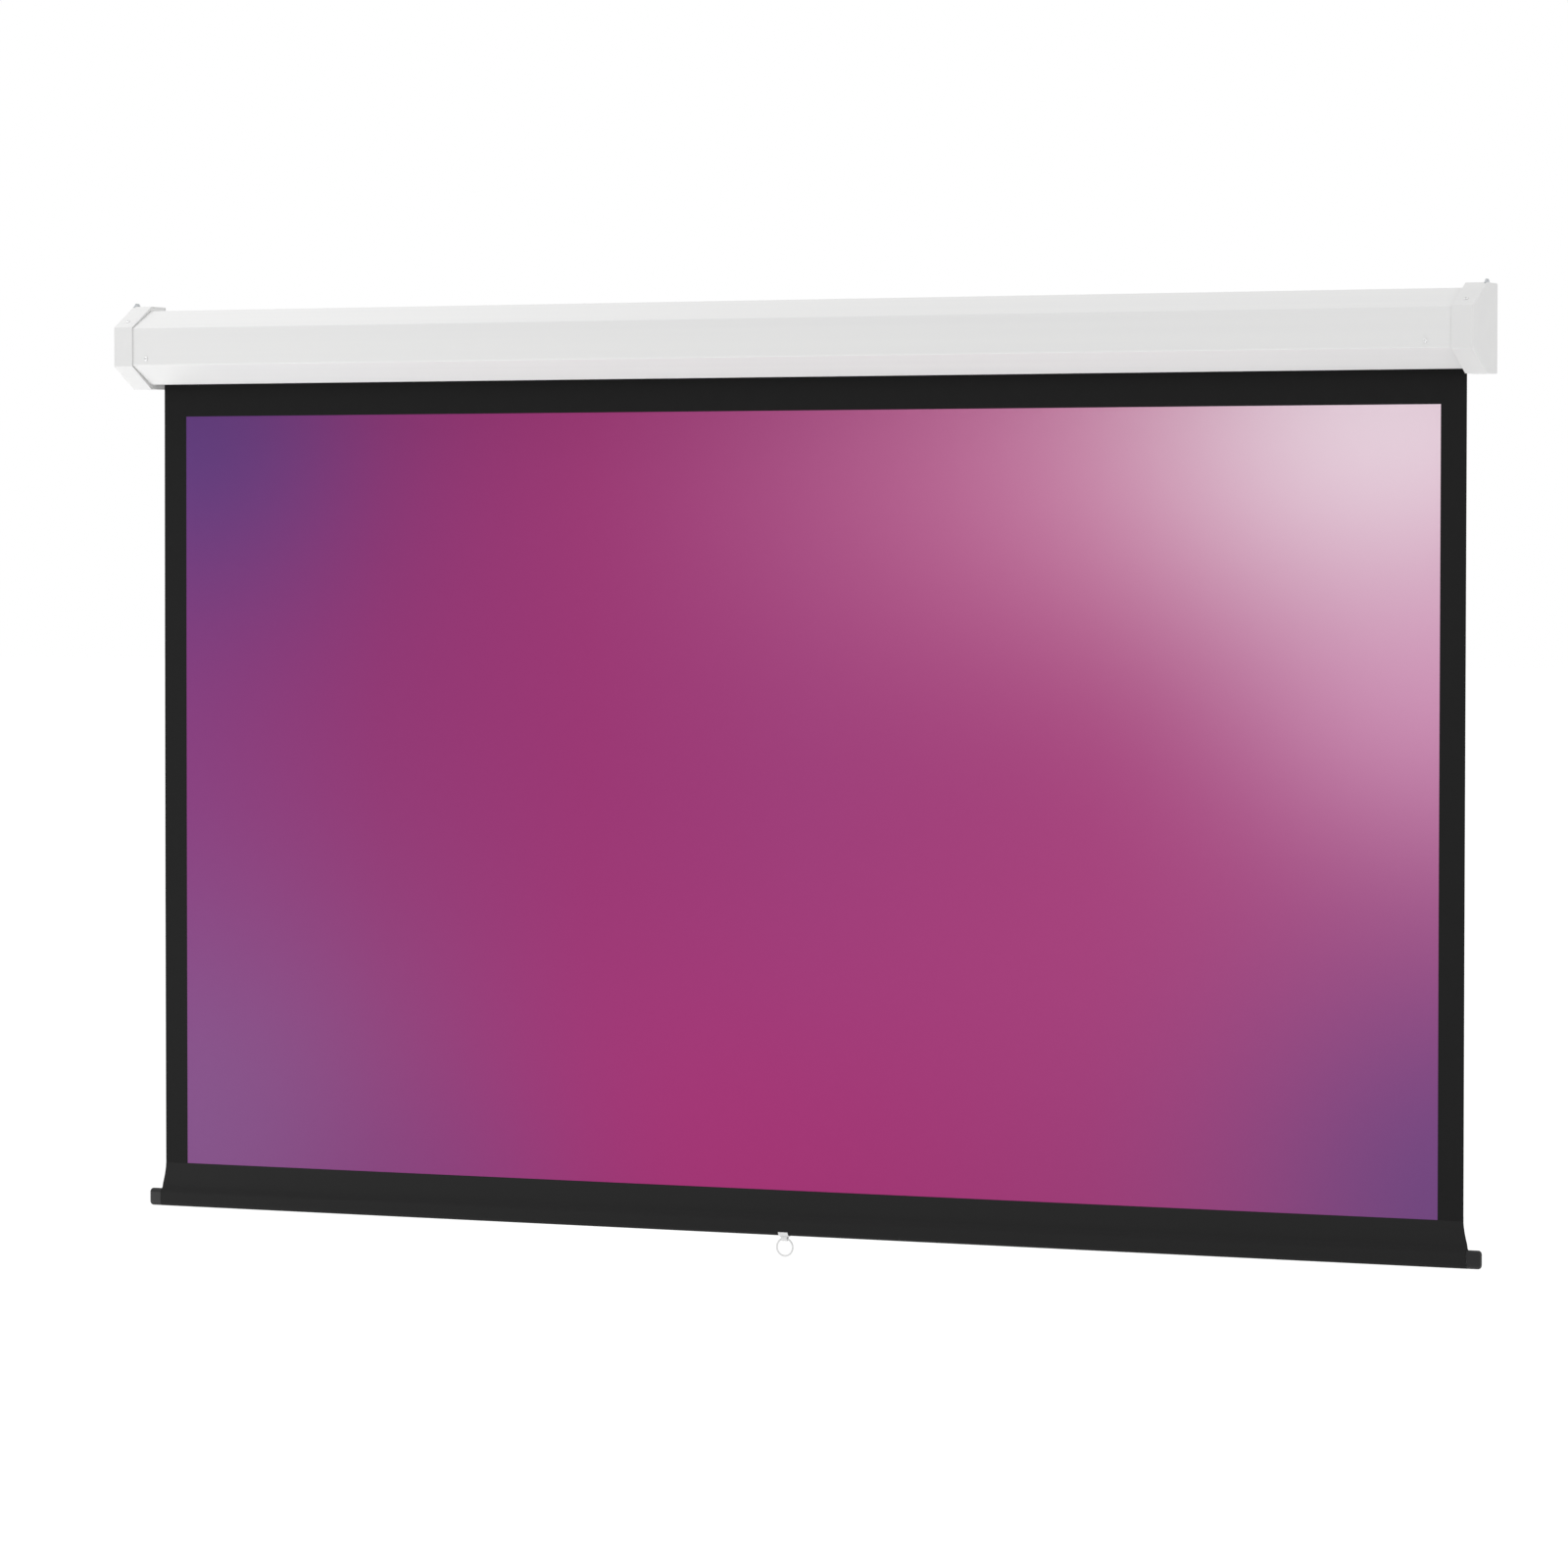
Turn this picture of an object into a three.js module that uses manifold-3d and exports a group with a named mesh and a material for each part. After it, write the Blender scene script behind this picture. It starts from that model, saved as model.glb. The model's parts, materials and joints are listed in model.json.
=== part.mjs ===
// Spring-roller projector screen in a six-sided wall case, drawn with the screen pulled down.
// Sizes are in millimetres. X runs along the case, -Y faces the room and +Z is up.
// The origin lies on the wall face, at the middle of the case's length and height.
import * as THREE from "three";
import { mergeVertices } from "three/addons/utils/BufferGeometryUtils.js";
import Module from "manifold-3d";

// Clearances and cutting
const seatGap = 0.3;
const cutOver = 2;
const weldDistance = 1e-3;

// Picture and cloth
const pictureWidth = 2642;
const pictureHeight = 1486;
const sideBorder = 50;
const topBorder = 63.25;
const clothThickness = 0.5;

// Case shell
const caseHeight = 145.5;
const caseDepth = 127;
const caseFrontHeight = 73;
const caseFlatDepth = 56;
const caseWall = 1.5;
const caseBendRadius = 3;
const slotFrontDepth = 36;
const slotBackDepth = 7;
const slotLipHeight = 6;

// End caps
const capRise = 9.25;
const capFrontRise = 2.25;
const capWidth = 42;
const capWall = 2.5;
const capSeamGap = 9;
const capCornerRadius = 3;
const capEndBevel = 2;
const caseIntoCap = 8;
const capRibThickness = 2;
const capRibInset = 3;
const capRibDepths = [18, 72, 88];

// Bracket plates and their ears
const plateThickness = 2;
const plateInset = 3.1;
const earDepth = 47;
const earRootWidth = 26;
const earTipWidth = 12;
const earRise = 6.5;
const earRoot = 6;
const earHoleRadius = 1.7;
const earHoleRise = 3.4;
const frontTongueWidth = 22;
const frontTongueDrop = 24;
const tonguePastScrew = 12;
const upperTongueDepth = 30;
const upperTongueWidth = 20;
const backTongueWidth = 36;
const shortTongueInCase = 26;
const capTabWidth = 26;
const capTabLength = 27;
const capTabRoot = 6;

// Screws of the case and the end caps
const screwRadius = 2;
const screwHeadRadius = 4;
const screwHeadHeight = 1.8;
const screwLength = 9;
const screwDomeShare = 0.7;
const leftScrewInset = 30;
const rightScrewInset = 51;
const capScrewInset = 21;
const capScrewSlopeShare = 0.27;

// Roller tube and the cloth wound on it
const rollerAxisDepth = 56;
const rollerRadius = 33;
const tubeWall = 1.5;
const wrapThickness = 1.7;
const tubePastCloth = 3;

// Plugs in the ends of the roller
const plugLength = 30;
const plugFlange = 4;
const plugSleeveWall = 3;
const plugHubWall = 3.5;
const pawlRimWall = 2.5;
const pawlRimLength = 11;

// Spindle, ratchet wheel and pawls
const spindleRadius = 6;
const tangHeight = 10.5;
const tangThickness = 5;
const bushingWall = 2.7;
const ratchetRadius = 13;
const ratchetToothDepth = 3;
const ratchetThickness = 6;
const ratchetTeeth = 4;
const ratchetRampShare = 0.5;
const axialPlay = 0.6;
const keySize = 3;
const clipThickness = 1.2;
const clipGrooveDepth = 1;
const clipWidth = 4.5;
const clipMouthShare = 0.45;
const firstToothAngle = 90;
const pawlCount = 2;
const pawlPivotRadius = 23.5;
const pawlLagAngle = 60;
const pawlLiftAngle = 14;
const pawlBossRadius = 4.5;
const pawlNoseWidth = 5.6;
const pawlPinRadius = 2;
const pawlPinHeadRadius = 3.6;
const pawlPinHeadHeight = 1.4;

// Mainspring, its collar and its anchor
const springTurns = 40;
const springPitch = 9;
const springRadius = 14;
const springWire = 2.8;
const springSteps = 8;
const springSides = 5;
const springSetback = 60;
const collarLength = 16;
const collarHubRadius = 11;
const collarFlange = 3;
const springSeatRadius = 18;
const crossPinRadius = 1.5;
const anchorThickness = 12;
const anchorHubLength = 14;
const spindlePastAnchor = 5;

// Idle end of the roller
const gudgeonRadius = 5;
const gudgeonShoulderRadius = 8;
const idleBushingWall = 2.4;
const idleBushingFlange = 2;
const idleBushingFlangeWidth = 3;

// Bottom pocket, bar and end pieces
const hemHeight = 52;
const hemFlare = 8;
const barHeight = 34.5;
const barDepth = 16;
const barOverhang = 35;
const barWall = 1.5;
const pocketWall = 0.8;
const barCapBevel = 4;
const spigotLength = 18;
const spigotWall = 2;

// Pull ring and its clip
const ringWidth = 37;
const ringWire = 3.8;
const saddleWidth = 20;
const saddleThickness = 1.5;
const saddleRise = 7;
const lugWidth = 12;
const lugWall = 1.8;
const eyeDrop = 5.6;
const eyeRadius = 3.3;
const clipScrewSpacing = 16;
const clipScrewRadius = 1;
const clipScrewHeadRadius = 1.6;
const clipScrewHeadHeight = 1;
const clipScrewLength = 5;

// Smoothness of round pieces
const tubeSides = 32;
const hubSides = 24;
const pinSides = 12;
const cornerSteps = 3;
const bevelSteps = 2;
const ringSteps = 36;
const ringSides = 10;

// Places worked out from the sizes above
const radians = Math.PI / 180;
const clothHalf = pictureWidth / 2 + sideBorder;
const caseHalfHeight = caseHeight / 2;
const capHeight = caseHeight + 2 * capRise;
const capFrontHeight = caseFrontHeight + 2 * capFrontRise;
const capHalfHeight = capHeight / 2;
const capDepth = caseDepth + seatGap + capWall;
const seamX = clothHalf + capSeamGap;
const capEndX = seamX + capWidth;
const caseEndX = seamX + caseIntoCap;
const plateOuterX = capEndX - capWall - seatGap;
const plateInnerX = plateOuterX - plateThickness;
const earRootZ = caseHalfHeight - plateInset - earRoot;
const axisY = -rollerAxisDepth;
const wrapInnerRadius = rollerRadius + seatGap;
const wrapRadius = wrapInnerRadius + wrapThickness;
const clothFrontY = axisY + wrapRadius + seatGap;
const clothBackY = clothFrontY + clothThickness;
const clothMidY = (clothFrontY + clothBackY) / 2;
const pictureBottomZ = -caseHalfHeight - topBorder - pictureHeight;
const barTopZ = pictureBottomZ - hemHeight;
const barMidZ = barTopZ - barHeight / 2;
const pocketHalf = clothHalf + hemFlare;
const barHalf = clothHalf + barOverhang;
const tubeEndX = clothHalf + tubePastCloth;
const tubeBore = rollerRadius - tubeWall;
const plugFaceX = tubeEndX + seatGap + plugFlange;
const ratchetInnerX = plugFaceX + axialPlay;
const ratchetOuterX = ratchetInnerX + ratchetThickness;
const clipInnerX = ratchetOuterX + seatGap;
const collarOuterX = tubeEndX - springSetback;
const collarInnerX = collarOuterX - collarLength;
const springOuterX = collarInnerX - seatGap;
const springInnerX = springOuterX - springTurns * springPitch - 2 * springWire;
const anchorOuterX = springInnerX - seatGap;
const anchorInnerX = anchorOuterX - anchorThickness;
const spindleInnerX = anchorInnerX - anchorHubLength - spindlePastAnchor;
const idleBushingInnerX = plateInnerX - seatGap - idleBushingFlange;
const springEnd = -1;
const idleEnd = 1;

const wasm = await Module();
wasm.setup();

// A closed geometry as a solid, turned inside out if its faces point inwards.
function solid(geometry) {
  const bare = geometry.clone();
  bare.deleteAttribute("normal");
  bare.deleteAttribute("uv");
  const welded = mergeVertices(bare, weldDistance);
  const vertProperties = welded.attributes.position.array;
  const triVerts = new Uint32Array(welded.index.array);
  const made = new wasm.Manifold(new wasm.Mesh({ numProp: 3, vertProperties, triVerts }));
  if (made.volume() > 0) return made;
  triVerts.reverse();
  return new wasm.Manifold(new wasm.Mesh({ numProp: 3, vertProperties, triVerts }));
}

function join(...geometries) {
  return geometries.map(solid).reduce((sum, next) => sum.add(next));
}

function cut(body, ...geometries) {
  return geometries.map(solid).reduce((rest, tool) => rest.subtract(tool), body);
}

// The surface of a solid, mirrored to the other end of the screen when side is -1.
function surface(body, side = 1) {
  const mesh = body.getMesh();
  const positions = new Float32Array(mesh.numVert * 3);
  for (let i = 0; i < mesh.numVert; i++) {
    const start = i * mesh.numProp;
    positions.set(mesh.vertProperties.subarray(start, start + 3), i * 3);
  }
  const indices = new Uint32Array(mesh.triVerts);
  if (side < 0) indices.reverse();
  const geometry = new THREE.BufferGeometry();
  geometry.setAttribute("position", new THREE.BufferAttribute(positions, 3));
  geometry.setIndex(new THREE.BufferAttribute(indices, 1));
  geometry.scale(side, 1, 1);
  geometry.computeVertexNormals();
  return geometry;
}

// A block between two opposite corners.
function block(low, high) {
  const size = high.map((value, i) => value - low[i]);
  const middle = high.map((value, i) => (value + low[i]) / 2);
  return new THREE.BoxGeometry(...size).translate(...middle);
}

// A shape from an outline of [y, z] points, with each corner rounded by radius.
function outlineShape(points, radius = 0) {
  const corners = points.map(([y, z]) => new THREE.Vector2(y, z));
  const shape = new THREE.Shape();
  corners.forEach((corner, i) => {
    const before = corners.at(i - 1);
    const after = corners[(i + 1) % corners.length];
    const enter = corner.clone().add(before.clone().sub(corner).setLength(radius));
    const leave = corner.clone().add(after.clone().sub(corner).setLength(radius));
    if (i === 0) shape.moveTo(enter.x, enter.y);
    else shape.lineTo(enter.x, enter.y);
    if (radius > 0) shape.quadraticCurveTo(corner.x, corner.y, leave.x, leave.y);
  });
  shape.closePath();
  return shape;
}

// A shape drawn in Y and Z, run along X between two places, with its end edges bevelled.
const alongX = new THREE.Matrix4().makeBasis(
  new THREE.Vector3(0, 1, 0),
  new THREE.Vector3(0, 0, 1),
  new THREE.Vector3(1, 0, 0),
);

function prism(shape, startX, endX, bevel = 0) {
  const geometry = new THREE.ExtrudeGeometry(shape, {
    depth: endX - startX - 2 * bevel,
    bevelEnabled: bevel > 0,
    bevelThickness: bevel,
    bevelSize: bevel,
    bevelOffset: -bevel,
    bevelSegments: bevelSteps,
    curveSegments: cornerSteps,
  });
  return geometry.applyMatrix4(alongX).translate(startX + bevel, 0, 0);
}

// An outline of [x, z] points as a sheet between two depths.
function sheet(points, frontY, backY) {
  const shape = outlineShape(points);
  const geometry = new THREE.ExtrudeGeometry(shape, { depth: backY - frontY, bevelEnabled: false });
  return geometry.rotateX(Math.PI / 2).translate(0, backY, 0);
}

// An outline of [x, radius] points turned about the X axis.
function turned(profile, sides = hubSides) {
  const points = profile.map(([x, radius]) => new THREE.Vector2(radius, x));
  return new THREE.LatheGeometry(points, sides).rotateZ(-Math.PI / 2);
}

function ring(startX, endX, innerRadius, outerRadius, sides = hubSides) {
  const corners = [
    [startX, innerRadius],
    [endX, innerRadius],
    [endX, outerRadius],
    [startX, outerRadius],
  ];
  return turned([...corners, corners[0]], sides);
}

function rod(startX, endX, radius, sides = hubSides) {
  const corners = [
    [startX, 0],
    [startX, radius],
    [endX, radius],
    [endX, 0],
  ];
  return turned(corners, sides);
}

// An outline of [height, radius] points turned about a line that leaves a point in a direction.
function turnedAlong(profile, base, direction, sides = pinSides) {
  const points = profile.map(([height, radius]) => new THREE.Vector2(radius, height));
  const turn = new THREE.Quaternion();
  turn.setFromUnitVectors(new THREE.Vector3(0, 1, 0), direction);
  const geometry = new THREE.LatheGeometry(points, sides);
  return geometry.applyQuaternion(turn).translate(base.x, base.y, base.z);
}

// A pin that reaches from a point by one length ahead and another behind.
function pinAlong(radius, ahead, behind, base, direction) {
  const profile = [
    [-behind, 0],
    [-behind, radius],
    [ahead, radius],
    [ahead, 0],
  ];
  return turnedAlong(profile, base, direction);
}

// A screw with a low domed head: its shank runs back from the base point.
function screw(headRadius, headHeight, shankRadius, length, base, direction) {
  const profile = [
    [-length, 0],
    [-length, shankRadius],
    [0, shankRadius],
    [0, headRadius],
    [headHeight / 2, headRadius],
    [headHeight, headRadius * screwDomeShare],
    [headHeight, 0],
  ];
  return turnedAlong(profile, base, direction);
}

// A six-sided outline with a flat back at the wall, the same above and below.
function sixSided(depth, height, frontHeight, flatDepth) {
  return [
    [0, -height / 2],
    [0, height / 2],
    [-flatDepth, height / 2],
    [-depth, frontHeight / 2],
    [-depth, -frontHeight / 2],
    [-flatDepth, -height / 2],
  ];
}

// An outline with every side moved inwards by a distance.
function inset(points, distance) {
  const sides = points.map(([y, z], i) => {
    const [nextY, nextZ] = points[(i + 1) % points.length];
    const run = new THREE.Vector2(nextY - y, nextZ - z).normalize();
    const inward = new THREE.Vector2(-run.y, run.x).multiplyScalar(distance);
    return { base: new THREE.Vector2(y, z).add(inward), run };
  });
  return sides.map((side, i) => {
    const before = sides.at(i - 1);
    const gap = side.base.clone().sub(before.base);
    const along = gap.cross(side.run) / before.run.cross(side.run);
    const corner = before.base.clone().addScaledVector(before.run, along);
    return [corner.x, corner.y];
  });
}

// A place at a radius and an angle in the plane of Y and Z.
function polar(radius, angle) {
  return [radius * Math.cos(angle * radians), radius * Math.sin(angle * radians)];
}

const caseOutline = sixSided(caseDepth, caseHeight, caseFrontHeight, caseFlatDepth);
const capOutline = sixSided(capDepth, capHeight, capFrontHeight, caseFlatDepth);
const [, , slopeTopCorner, slopeFootCorner] = capOutline;

const towardsRoom = new THREE.Vector3(0, -1, 0);
const sideways = new THREE.Vector3(1, 0, 0);
const upwards = new THREE.Vector3(0, 0, 1);
const downwards = new THREE.Vector3(0, 0, -1);

// The slope above the front of the end cap, where a screw holds it to the bracket.
const slopeTop = new THREE.Vector2(...slopeTopCorner);
const slopeFoot = new THREE.Vector2(...slopeFootCorner);
const slopeRun = slopeTop.clone().sub(slopeFoot).normalize();
const slopePoint = slopeFoot.clone().lerp(slopeTop, capScrewSlopeShare);
const slopeNormal = new THREE.Vector3(0, -slopeRun.y, slopeRun.x);

// Groups: everything fixed to the case, the roller line, and what hangs from the cloth
const screen = new THREE.Group();
const rollerLine = new THREE.Group();
rollerLine.position.set(0, axisY, 0);
const bottomBar = new THREE.Group();
bottomBar.position.set(0, clothMidY, barMidZ);
const ringHinge = new THREE.Group();
ringHinge.position.set(0, 0, -barHeight / 2 - eyeDrop);
bottomBar.add(ringHinge);
screen.add(rollerLine, bottomBar);

function addPiece(group, name, finish, body, side = 1) {
  const material = new THREE.MeshStandardMaterial(finish);
  const mesh = new THREE.Mesh(surface(body, side), material);
  mesh.name = name;
  group.add(mesh);
}

const finishes = {
  caseEnamel: { color: 0xf0f0ee, roughness: 0.45, metalness: 0 },
  capPlastic: { color: 0xebebe9, roughness: 0.5, metalness: 0 },
  zincSteel: { color: 0x9fa2a4, roughness: 0.4, metalness: 1 },
  screwSteel: { color: 0xb9bbbc, roughness: 0.35, metalness: 1 },
  hardSteel: { color: 0x6f7376, roughness: 0.35, metalness: 1 },
  springSteel: { color: 0x55595c, roughness: 0.3, metalness: 1 },
  tubeAluminium: { color: 0xb4b7ba, roughness: 0.45, metalness: 1 },
  nylon: { color: 0xddd9cc, roughness: 0.55, metalness: 0 },
  diecast: { color: 0x8d9092, roughness: 0.5, metalness: 1 },
  screenCloth: { color: 0xf4f4f2, roughness: 0.9, metalness: 0 },
  blackCloth: { color: 0x1f1f20, roughness: 0.85, metalness: 0 },
  blackPlastic: { color: 0x1c1c1d, roughness: 0.4, metalness: 0 },
  ringPlastic: { color: 0xe8e8e8, roughness: 0.25, metalness: 0 },
};

// Case shell, one bent section with a lipped slot under its back for the cloth
function slotLip(frontY, backY) {
  const low = [-caseEndX, frontY, -caseHalfHeight];
  return block(low, [caseEndX, backY, -caseHalfHeight + slotLipHeight]);
}

function caseScrewBase(side) {
  const screwInset = side === springEnd ? leftScrewInset : rightScrewInset;
  return new THREE.Vector3(seamX - screwInset, -caseDepth - seatGap, -frontTongueDrop);
}

function caseScrewHole(side) {
  const base = caseScrewBase(side);
  return pinAlong(screwRadius + seatGap, cutOver, screwLength, base, towardsRoom);
}

function caseShell() {
  const outside = outlineShape(caseOutline, caseBendRadius);
  const inside = outlineShape(inset(caseOutline, caseWall), caseBendRadius - caseWall);
  const slot = block(
    [-caseEndX - cutOver, -slotFrontDepth, -caseHalfHeight - cutOver],
    [caseEndX + cutOver, -slotBackDepth, -caseHalfHeight + caseWall + cutOver],
  );
  const section = cut(
    solid(prism(outside, -caseEndX, caseEndX)),
    prism(inside, -caseEndX - cutOver, caseEndX + cutOver),
    slot,
  );
  const frontLip = solid(slotLip(-slotFrontDepth - caseWall, -slotFrontDepth));
  const backLip = solid(slotLip(-slotBackDepth, -slotBackDepth + caseWall));
  const screwHoles = [caseScrewHole(springEnd).scale(springEnd, 1, 1), caseScrewHole(idleEnd)];
  return cut(section.add(frontLip).add(backLip), ...screwHoles);
}

// End cap, a moulded cup whose ribs sit round the end of the case
function capRibs() {
  const inner = outlineShape(inset(capOutline, capWall / 2));
  const ribs = capRibDepths.map((depth) =>
    solid(
      block(
        [seamX + capRibInset, -depth - capRibThickness / 2, -capHalfHeight],
        [capEndX - capWall / 2, -depth + capRibThickness / 2, capHalfHeight],
      ),
    ),
  );
  const whole = ribs.reduce((sum, rib) => sum.add(rib));
  const kept = whole.intersect(solid(prism(inner, seamX, capEndX)));
  return cut(kept, prism(outlineShape(inset(caseOutline, -seatGap)), seamX, capEndX - capWall));
}

function capScrewBase() {
  const base = new THREE.Vector3(seamX + capScrewInset, slopePoint.x, slopePoint.y);
  return base.addScaledVector(slopeNormal, seatGap);
}

function capScrewHole() {
  return pinAlong(screwRadius + seatGap, cutOver, screwLength, capScrewBase(), slopeNormal);
}

function endCap() {
  const outer = prism(outlineShape(capOutline, capCornerRadius), seamX - capEndBevel, capEndX, capEndBevel);
  const cavity = outlineShape(inset(capOutline, capWall), capCornerRadius - capWall);
  const beforeSeam = block(
    [seamX - capEndBevel - cutOver, -capDepth - cutOver, -capHalfHeight - cutOver],
    [seamX, cutOver, capHalfHeight + cutOver],
  );
  const caseRelief = block(
    [seamX - cutOver, -capWall - seatGap, -caseHalfHeight - seatGap],
    [caseEndX + seatGap, cutOver, caseHalfHeight + seatGap],
  );
  const earSlot = block(
    [plateInnerX - seatGap, -earDepth - earRootWidth / 2 - seatGap, earRootZ],
    [plateOuterX + seatGap, -earDepth + earRootWidth / 2 + seatGap, capHalfHeight + cutOver],
  );
  const cup = cut(solid(outer), beforeSeam, prism(cavity, seamX - cutOver, capEndX - capWall));
  return cut(cup.add(capRibs()), caseRelief, earSlot, capScrewHole());
}

// Bracket plate with its ear, three tongues inside the case and a tab under the cap's screw
function ear() {
  const tipZ = capHalfHeight + earRise;
  const outline = [
    [-earDepth + earRootWidth / 2, earRootZ],
    [-earDepth + earRootWidth / 2, capHalfHeight],
    [-earDepth + earTipWidth / 2, tipZ],
    [-earDepth - earTipWidth / 2, tipZ],
    [-earDepth - earRootWidth / 2, capHalfHeight],
    [-earDepth - earRootWidth / 2, earRootZ],
  ];
  return prism(outlineShape(outline), plateInnerX, plateOuterX);
}

function tabOutline(thickness) {
  const inwards = new THREE.Vector2(slopeRun.y, -slopeRun.x);
  const middle = slopePoint.clone().addScaledVector(inwards, capWall + seatGap);
  const low = middle.clone().addScaledVector(slopeRun, -capTabWidth / 2);
  const high = middle.clone().addScaledVector(slopeRun, capTabWidth / 2);
  const corners = [low, high, high, low].map((corner, i) =>
    i < 2 ? corner.clone() : corner.clone().addScaledVector(inwards, thickness),
  );
  return outlineShape(corners.map((corner) => [corner.x, corner.y]));
}

function capTab() {
  const tab = prism(tabOutline(plateThickness), plateOuterX - capTabLength, plateOuterX);
  const root = prism(tabOutline(capTabRoot), plateInnerX, plateOuterX);
  return [tab, root];
}

function bracketPlate(side) {
  const webShape = outlineShape(inset(caseOutline, plateInset));
  const besideWall = caseWall + seatGap;
  const frontTongueY = -caseDepth + besideWall;
  const frontTongue = block(
    [caseScrewBase(side).x - tonguePastScrew, frontTongueY, -frontTongueDrop - frontTongueWidth / 2],
    [plateOuterX, frontTongueY + plateThickness, -frontTongueDrop + frontTongueWidth / 2],
  );
  const shortTongueX = caseEndX - shortTongueInCase;
  const upperTongue = block(
    [shortTongueX, -upperTongueDepth - upperTongueWidth / 2, caseHalfHeight - besideWall - plateThickness],
    [plateOuterX, -upperTongueDepth + upperTongueWidth / 2, caseHalfHeight - besideWall],
  );
  const besideCap = capWall + seatGap;
  const backTongue = block(
    [shortTongueX, -besideCap - plateThickness, -backTongueWidth / 2],
    [plateOuterX, -besideCap, backTongueWidth / 2],
  );
  const earHoleBase = new THREE.Vector3(plateOuterX, -earDepth, capHalfHeight + earHoleRise);
  const earHoleReach = plateThickness + cutOver;
  const earHole = pinAlong(earHoleRadius, earHoleReach, earHoleReach, earHoleBase, sideways);
  const tangHole = block(
    [plateInnerX - cutOver, axisY - tangThickness / 2 - seatGap, -tangHeight / 2 - seatGap],
    [plateOuterX + cutOver, axisY + tangThickness / 2 + seatGap, tangHeight / 2 + seatGap],
  );
  const bushingHole = rod(
    plateInnerX - cutOver,
    plateOuterX + cutOver,
    gudgeonRadius + idleBushingWall + 2 * seatGap,
  ).translate(0, axisY, 0);
  const web = prism(webShape, plateInnerX, plateOuterX);
  const plate = join(web, ear(), frontTongue, upperTongue, backTongue, ...capTab());
  const rollerHole = side === springEnd ? tangHole : bushingHole;
  return cut(plate, earHole, rollerHole, caseScrewHole(side), capScrewHole());
}

function caseScrew(side) {
  const base = caseScrewBase(side);
  return solid(screw(screwHeadRadius, screwHeadHeight, screwRadius, screwLength, base, towardsRoom));
}

function capScrew() {
  const base = capScrewBase();
  return solid(screw(screwHeadRadius, screwHeadHeight, screwRadius, screwLength, base, slopeNormal));
}

// Spindle: a rod that the left bracket holds still by its flat tang
function crossPinHole(x, reach) {
  return pinAlong(crossPinRadius + seatGap, reach, reach, new THREE.Vector3(x, 0, 0), upwards);
}

function crossPin(x, reach) {
  return solid(pinAlong(crossPinRadius, reach, reach, new THREE.Vector3(x, 0, 0), upwards));
}

const collarPinX = collarOuterX - (collarLength - collarFlange) / 2;
const collarPinReach = collarHubRadius - seatGap;

function spindle() {
  const grooveRadius = spindleRadius - clipGrooveDepth;
  const body = turned([
    [spindleInnerX, 0],
    [spindleInnerX, spindleRadius],
    [clipInnerX - seatGap, spindleRadius],
    [clipInnerX - seatGap, grooveRadius],
    [clipInnerX + clipThickness + seatGap, grooveRadius],
    [clipInnerX + clipThickness + seatGap, spindleRadius],
    [plateInnerX - seatGap, spindleRadius],
    [plateInnerX - seatGap, 0],
  ]);
  const tang = block(
    [plateInnerX - spindleRadius, -tangThickness / 2, -tangHeight / 2],
    [plateOuterX, tangThickness / 2, tangHeight / 2],
  );
  const keyway = block(
    [ratchetInnerX - seatGap, -keySize / 2 - seatGap, spindleRadius - keySize / 2 - seatGap],
    [ratchetOuterX + seatGap, keySize / 2 + seatGap, spindleRadius + cutOver],
  );
  return cut(join(body, tang), keyway, crossPinHole(collarPinX, spindleRadius + cutOver));
}

// Ratchet wheel: each tooth has a straight stop face and a ramp that lifts the pawls
function rampRadius(share) {
  return ratchetRadius - ratchetToothDepth * (1 - share);
}

function ratchetWheel() {
  const pitch = 360 / ratchetTeeth;
  const ramp = pitch * ratchetRampShare;
  const points = [];
  for (let tooth = 0; tooth < ratchetTeeth; tooth++) {
    const face = firstToothAngle + tooth * pitch;
    for (let step = 0; step <= cornerSteps; step++) {
      points.push(polar(ratchetRadius, face + ((pitch - ramp) * step) / cornerSteps));
    }
    for (let step = 1; step <= cornerSteps; step++) {
      const share = 1 - step / cornerSteps;
      points.push(polar(rampRadius(share), face + pitch - ramp * share));
    }
  }
  const wheel = solid(prism(outlineShape(points), ratchetInnerX, ratchetOuterX));
  const bore = rod(ratchetInnerX - cutOver, ratchetOuterX + cutOver, spindleRadius + seatGap);
  const keyway = block(
    [ratchetInnerX - cutOver, -keySize / 2 - seatGap, 0],
    [ratchetOuterX + cutOver, keySize / 2 + seatGap, spindleRadius + keySize / 2 + seatGap],
  );
  return cut(wheel, bore, keyway);
}

function ratchetKey() {
  return solid(
    block(
      [ratchetInnerX, -keySize / 2, spindleRadius - keySize / 2],
      [ratchetOuterX, keySize / 2, spindleRadius + keySize / 2],
    ),
  );
}

function spindleClip() {
  const inner = spindleRadius - clipGrooveDepth + seatGap;
  const outer = inner + clipWidth;
  const mouth = outer * clipMouthShare;
  const washer = solid(ring(clipInnerX, clipInnerX + clipThickness, inner, outer));
  const opening = block([clipInnerX - cutOver, -mouth, -outer - cutOver], [clipInnerX + cutOver, mouth, 0]);
  return cut(washer, opening);
}

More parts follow.
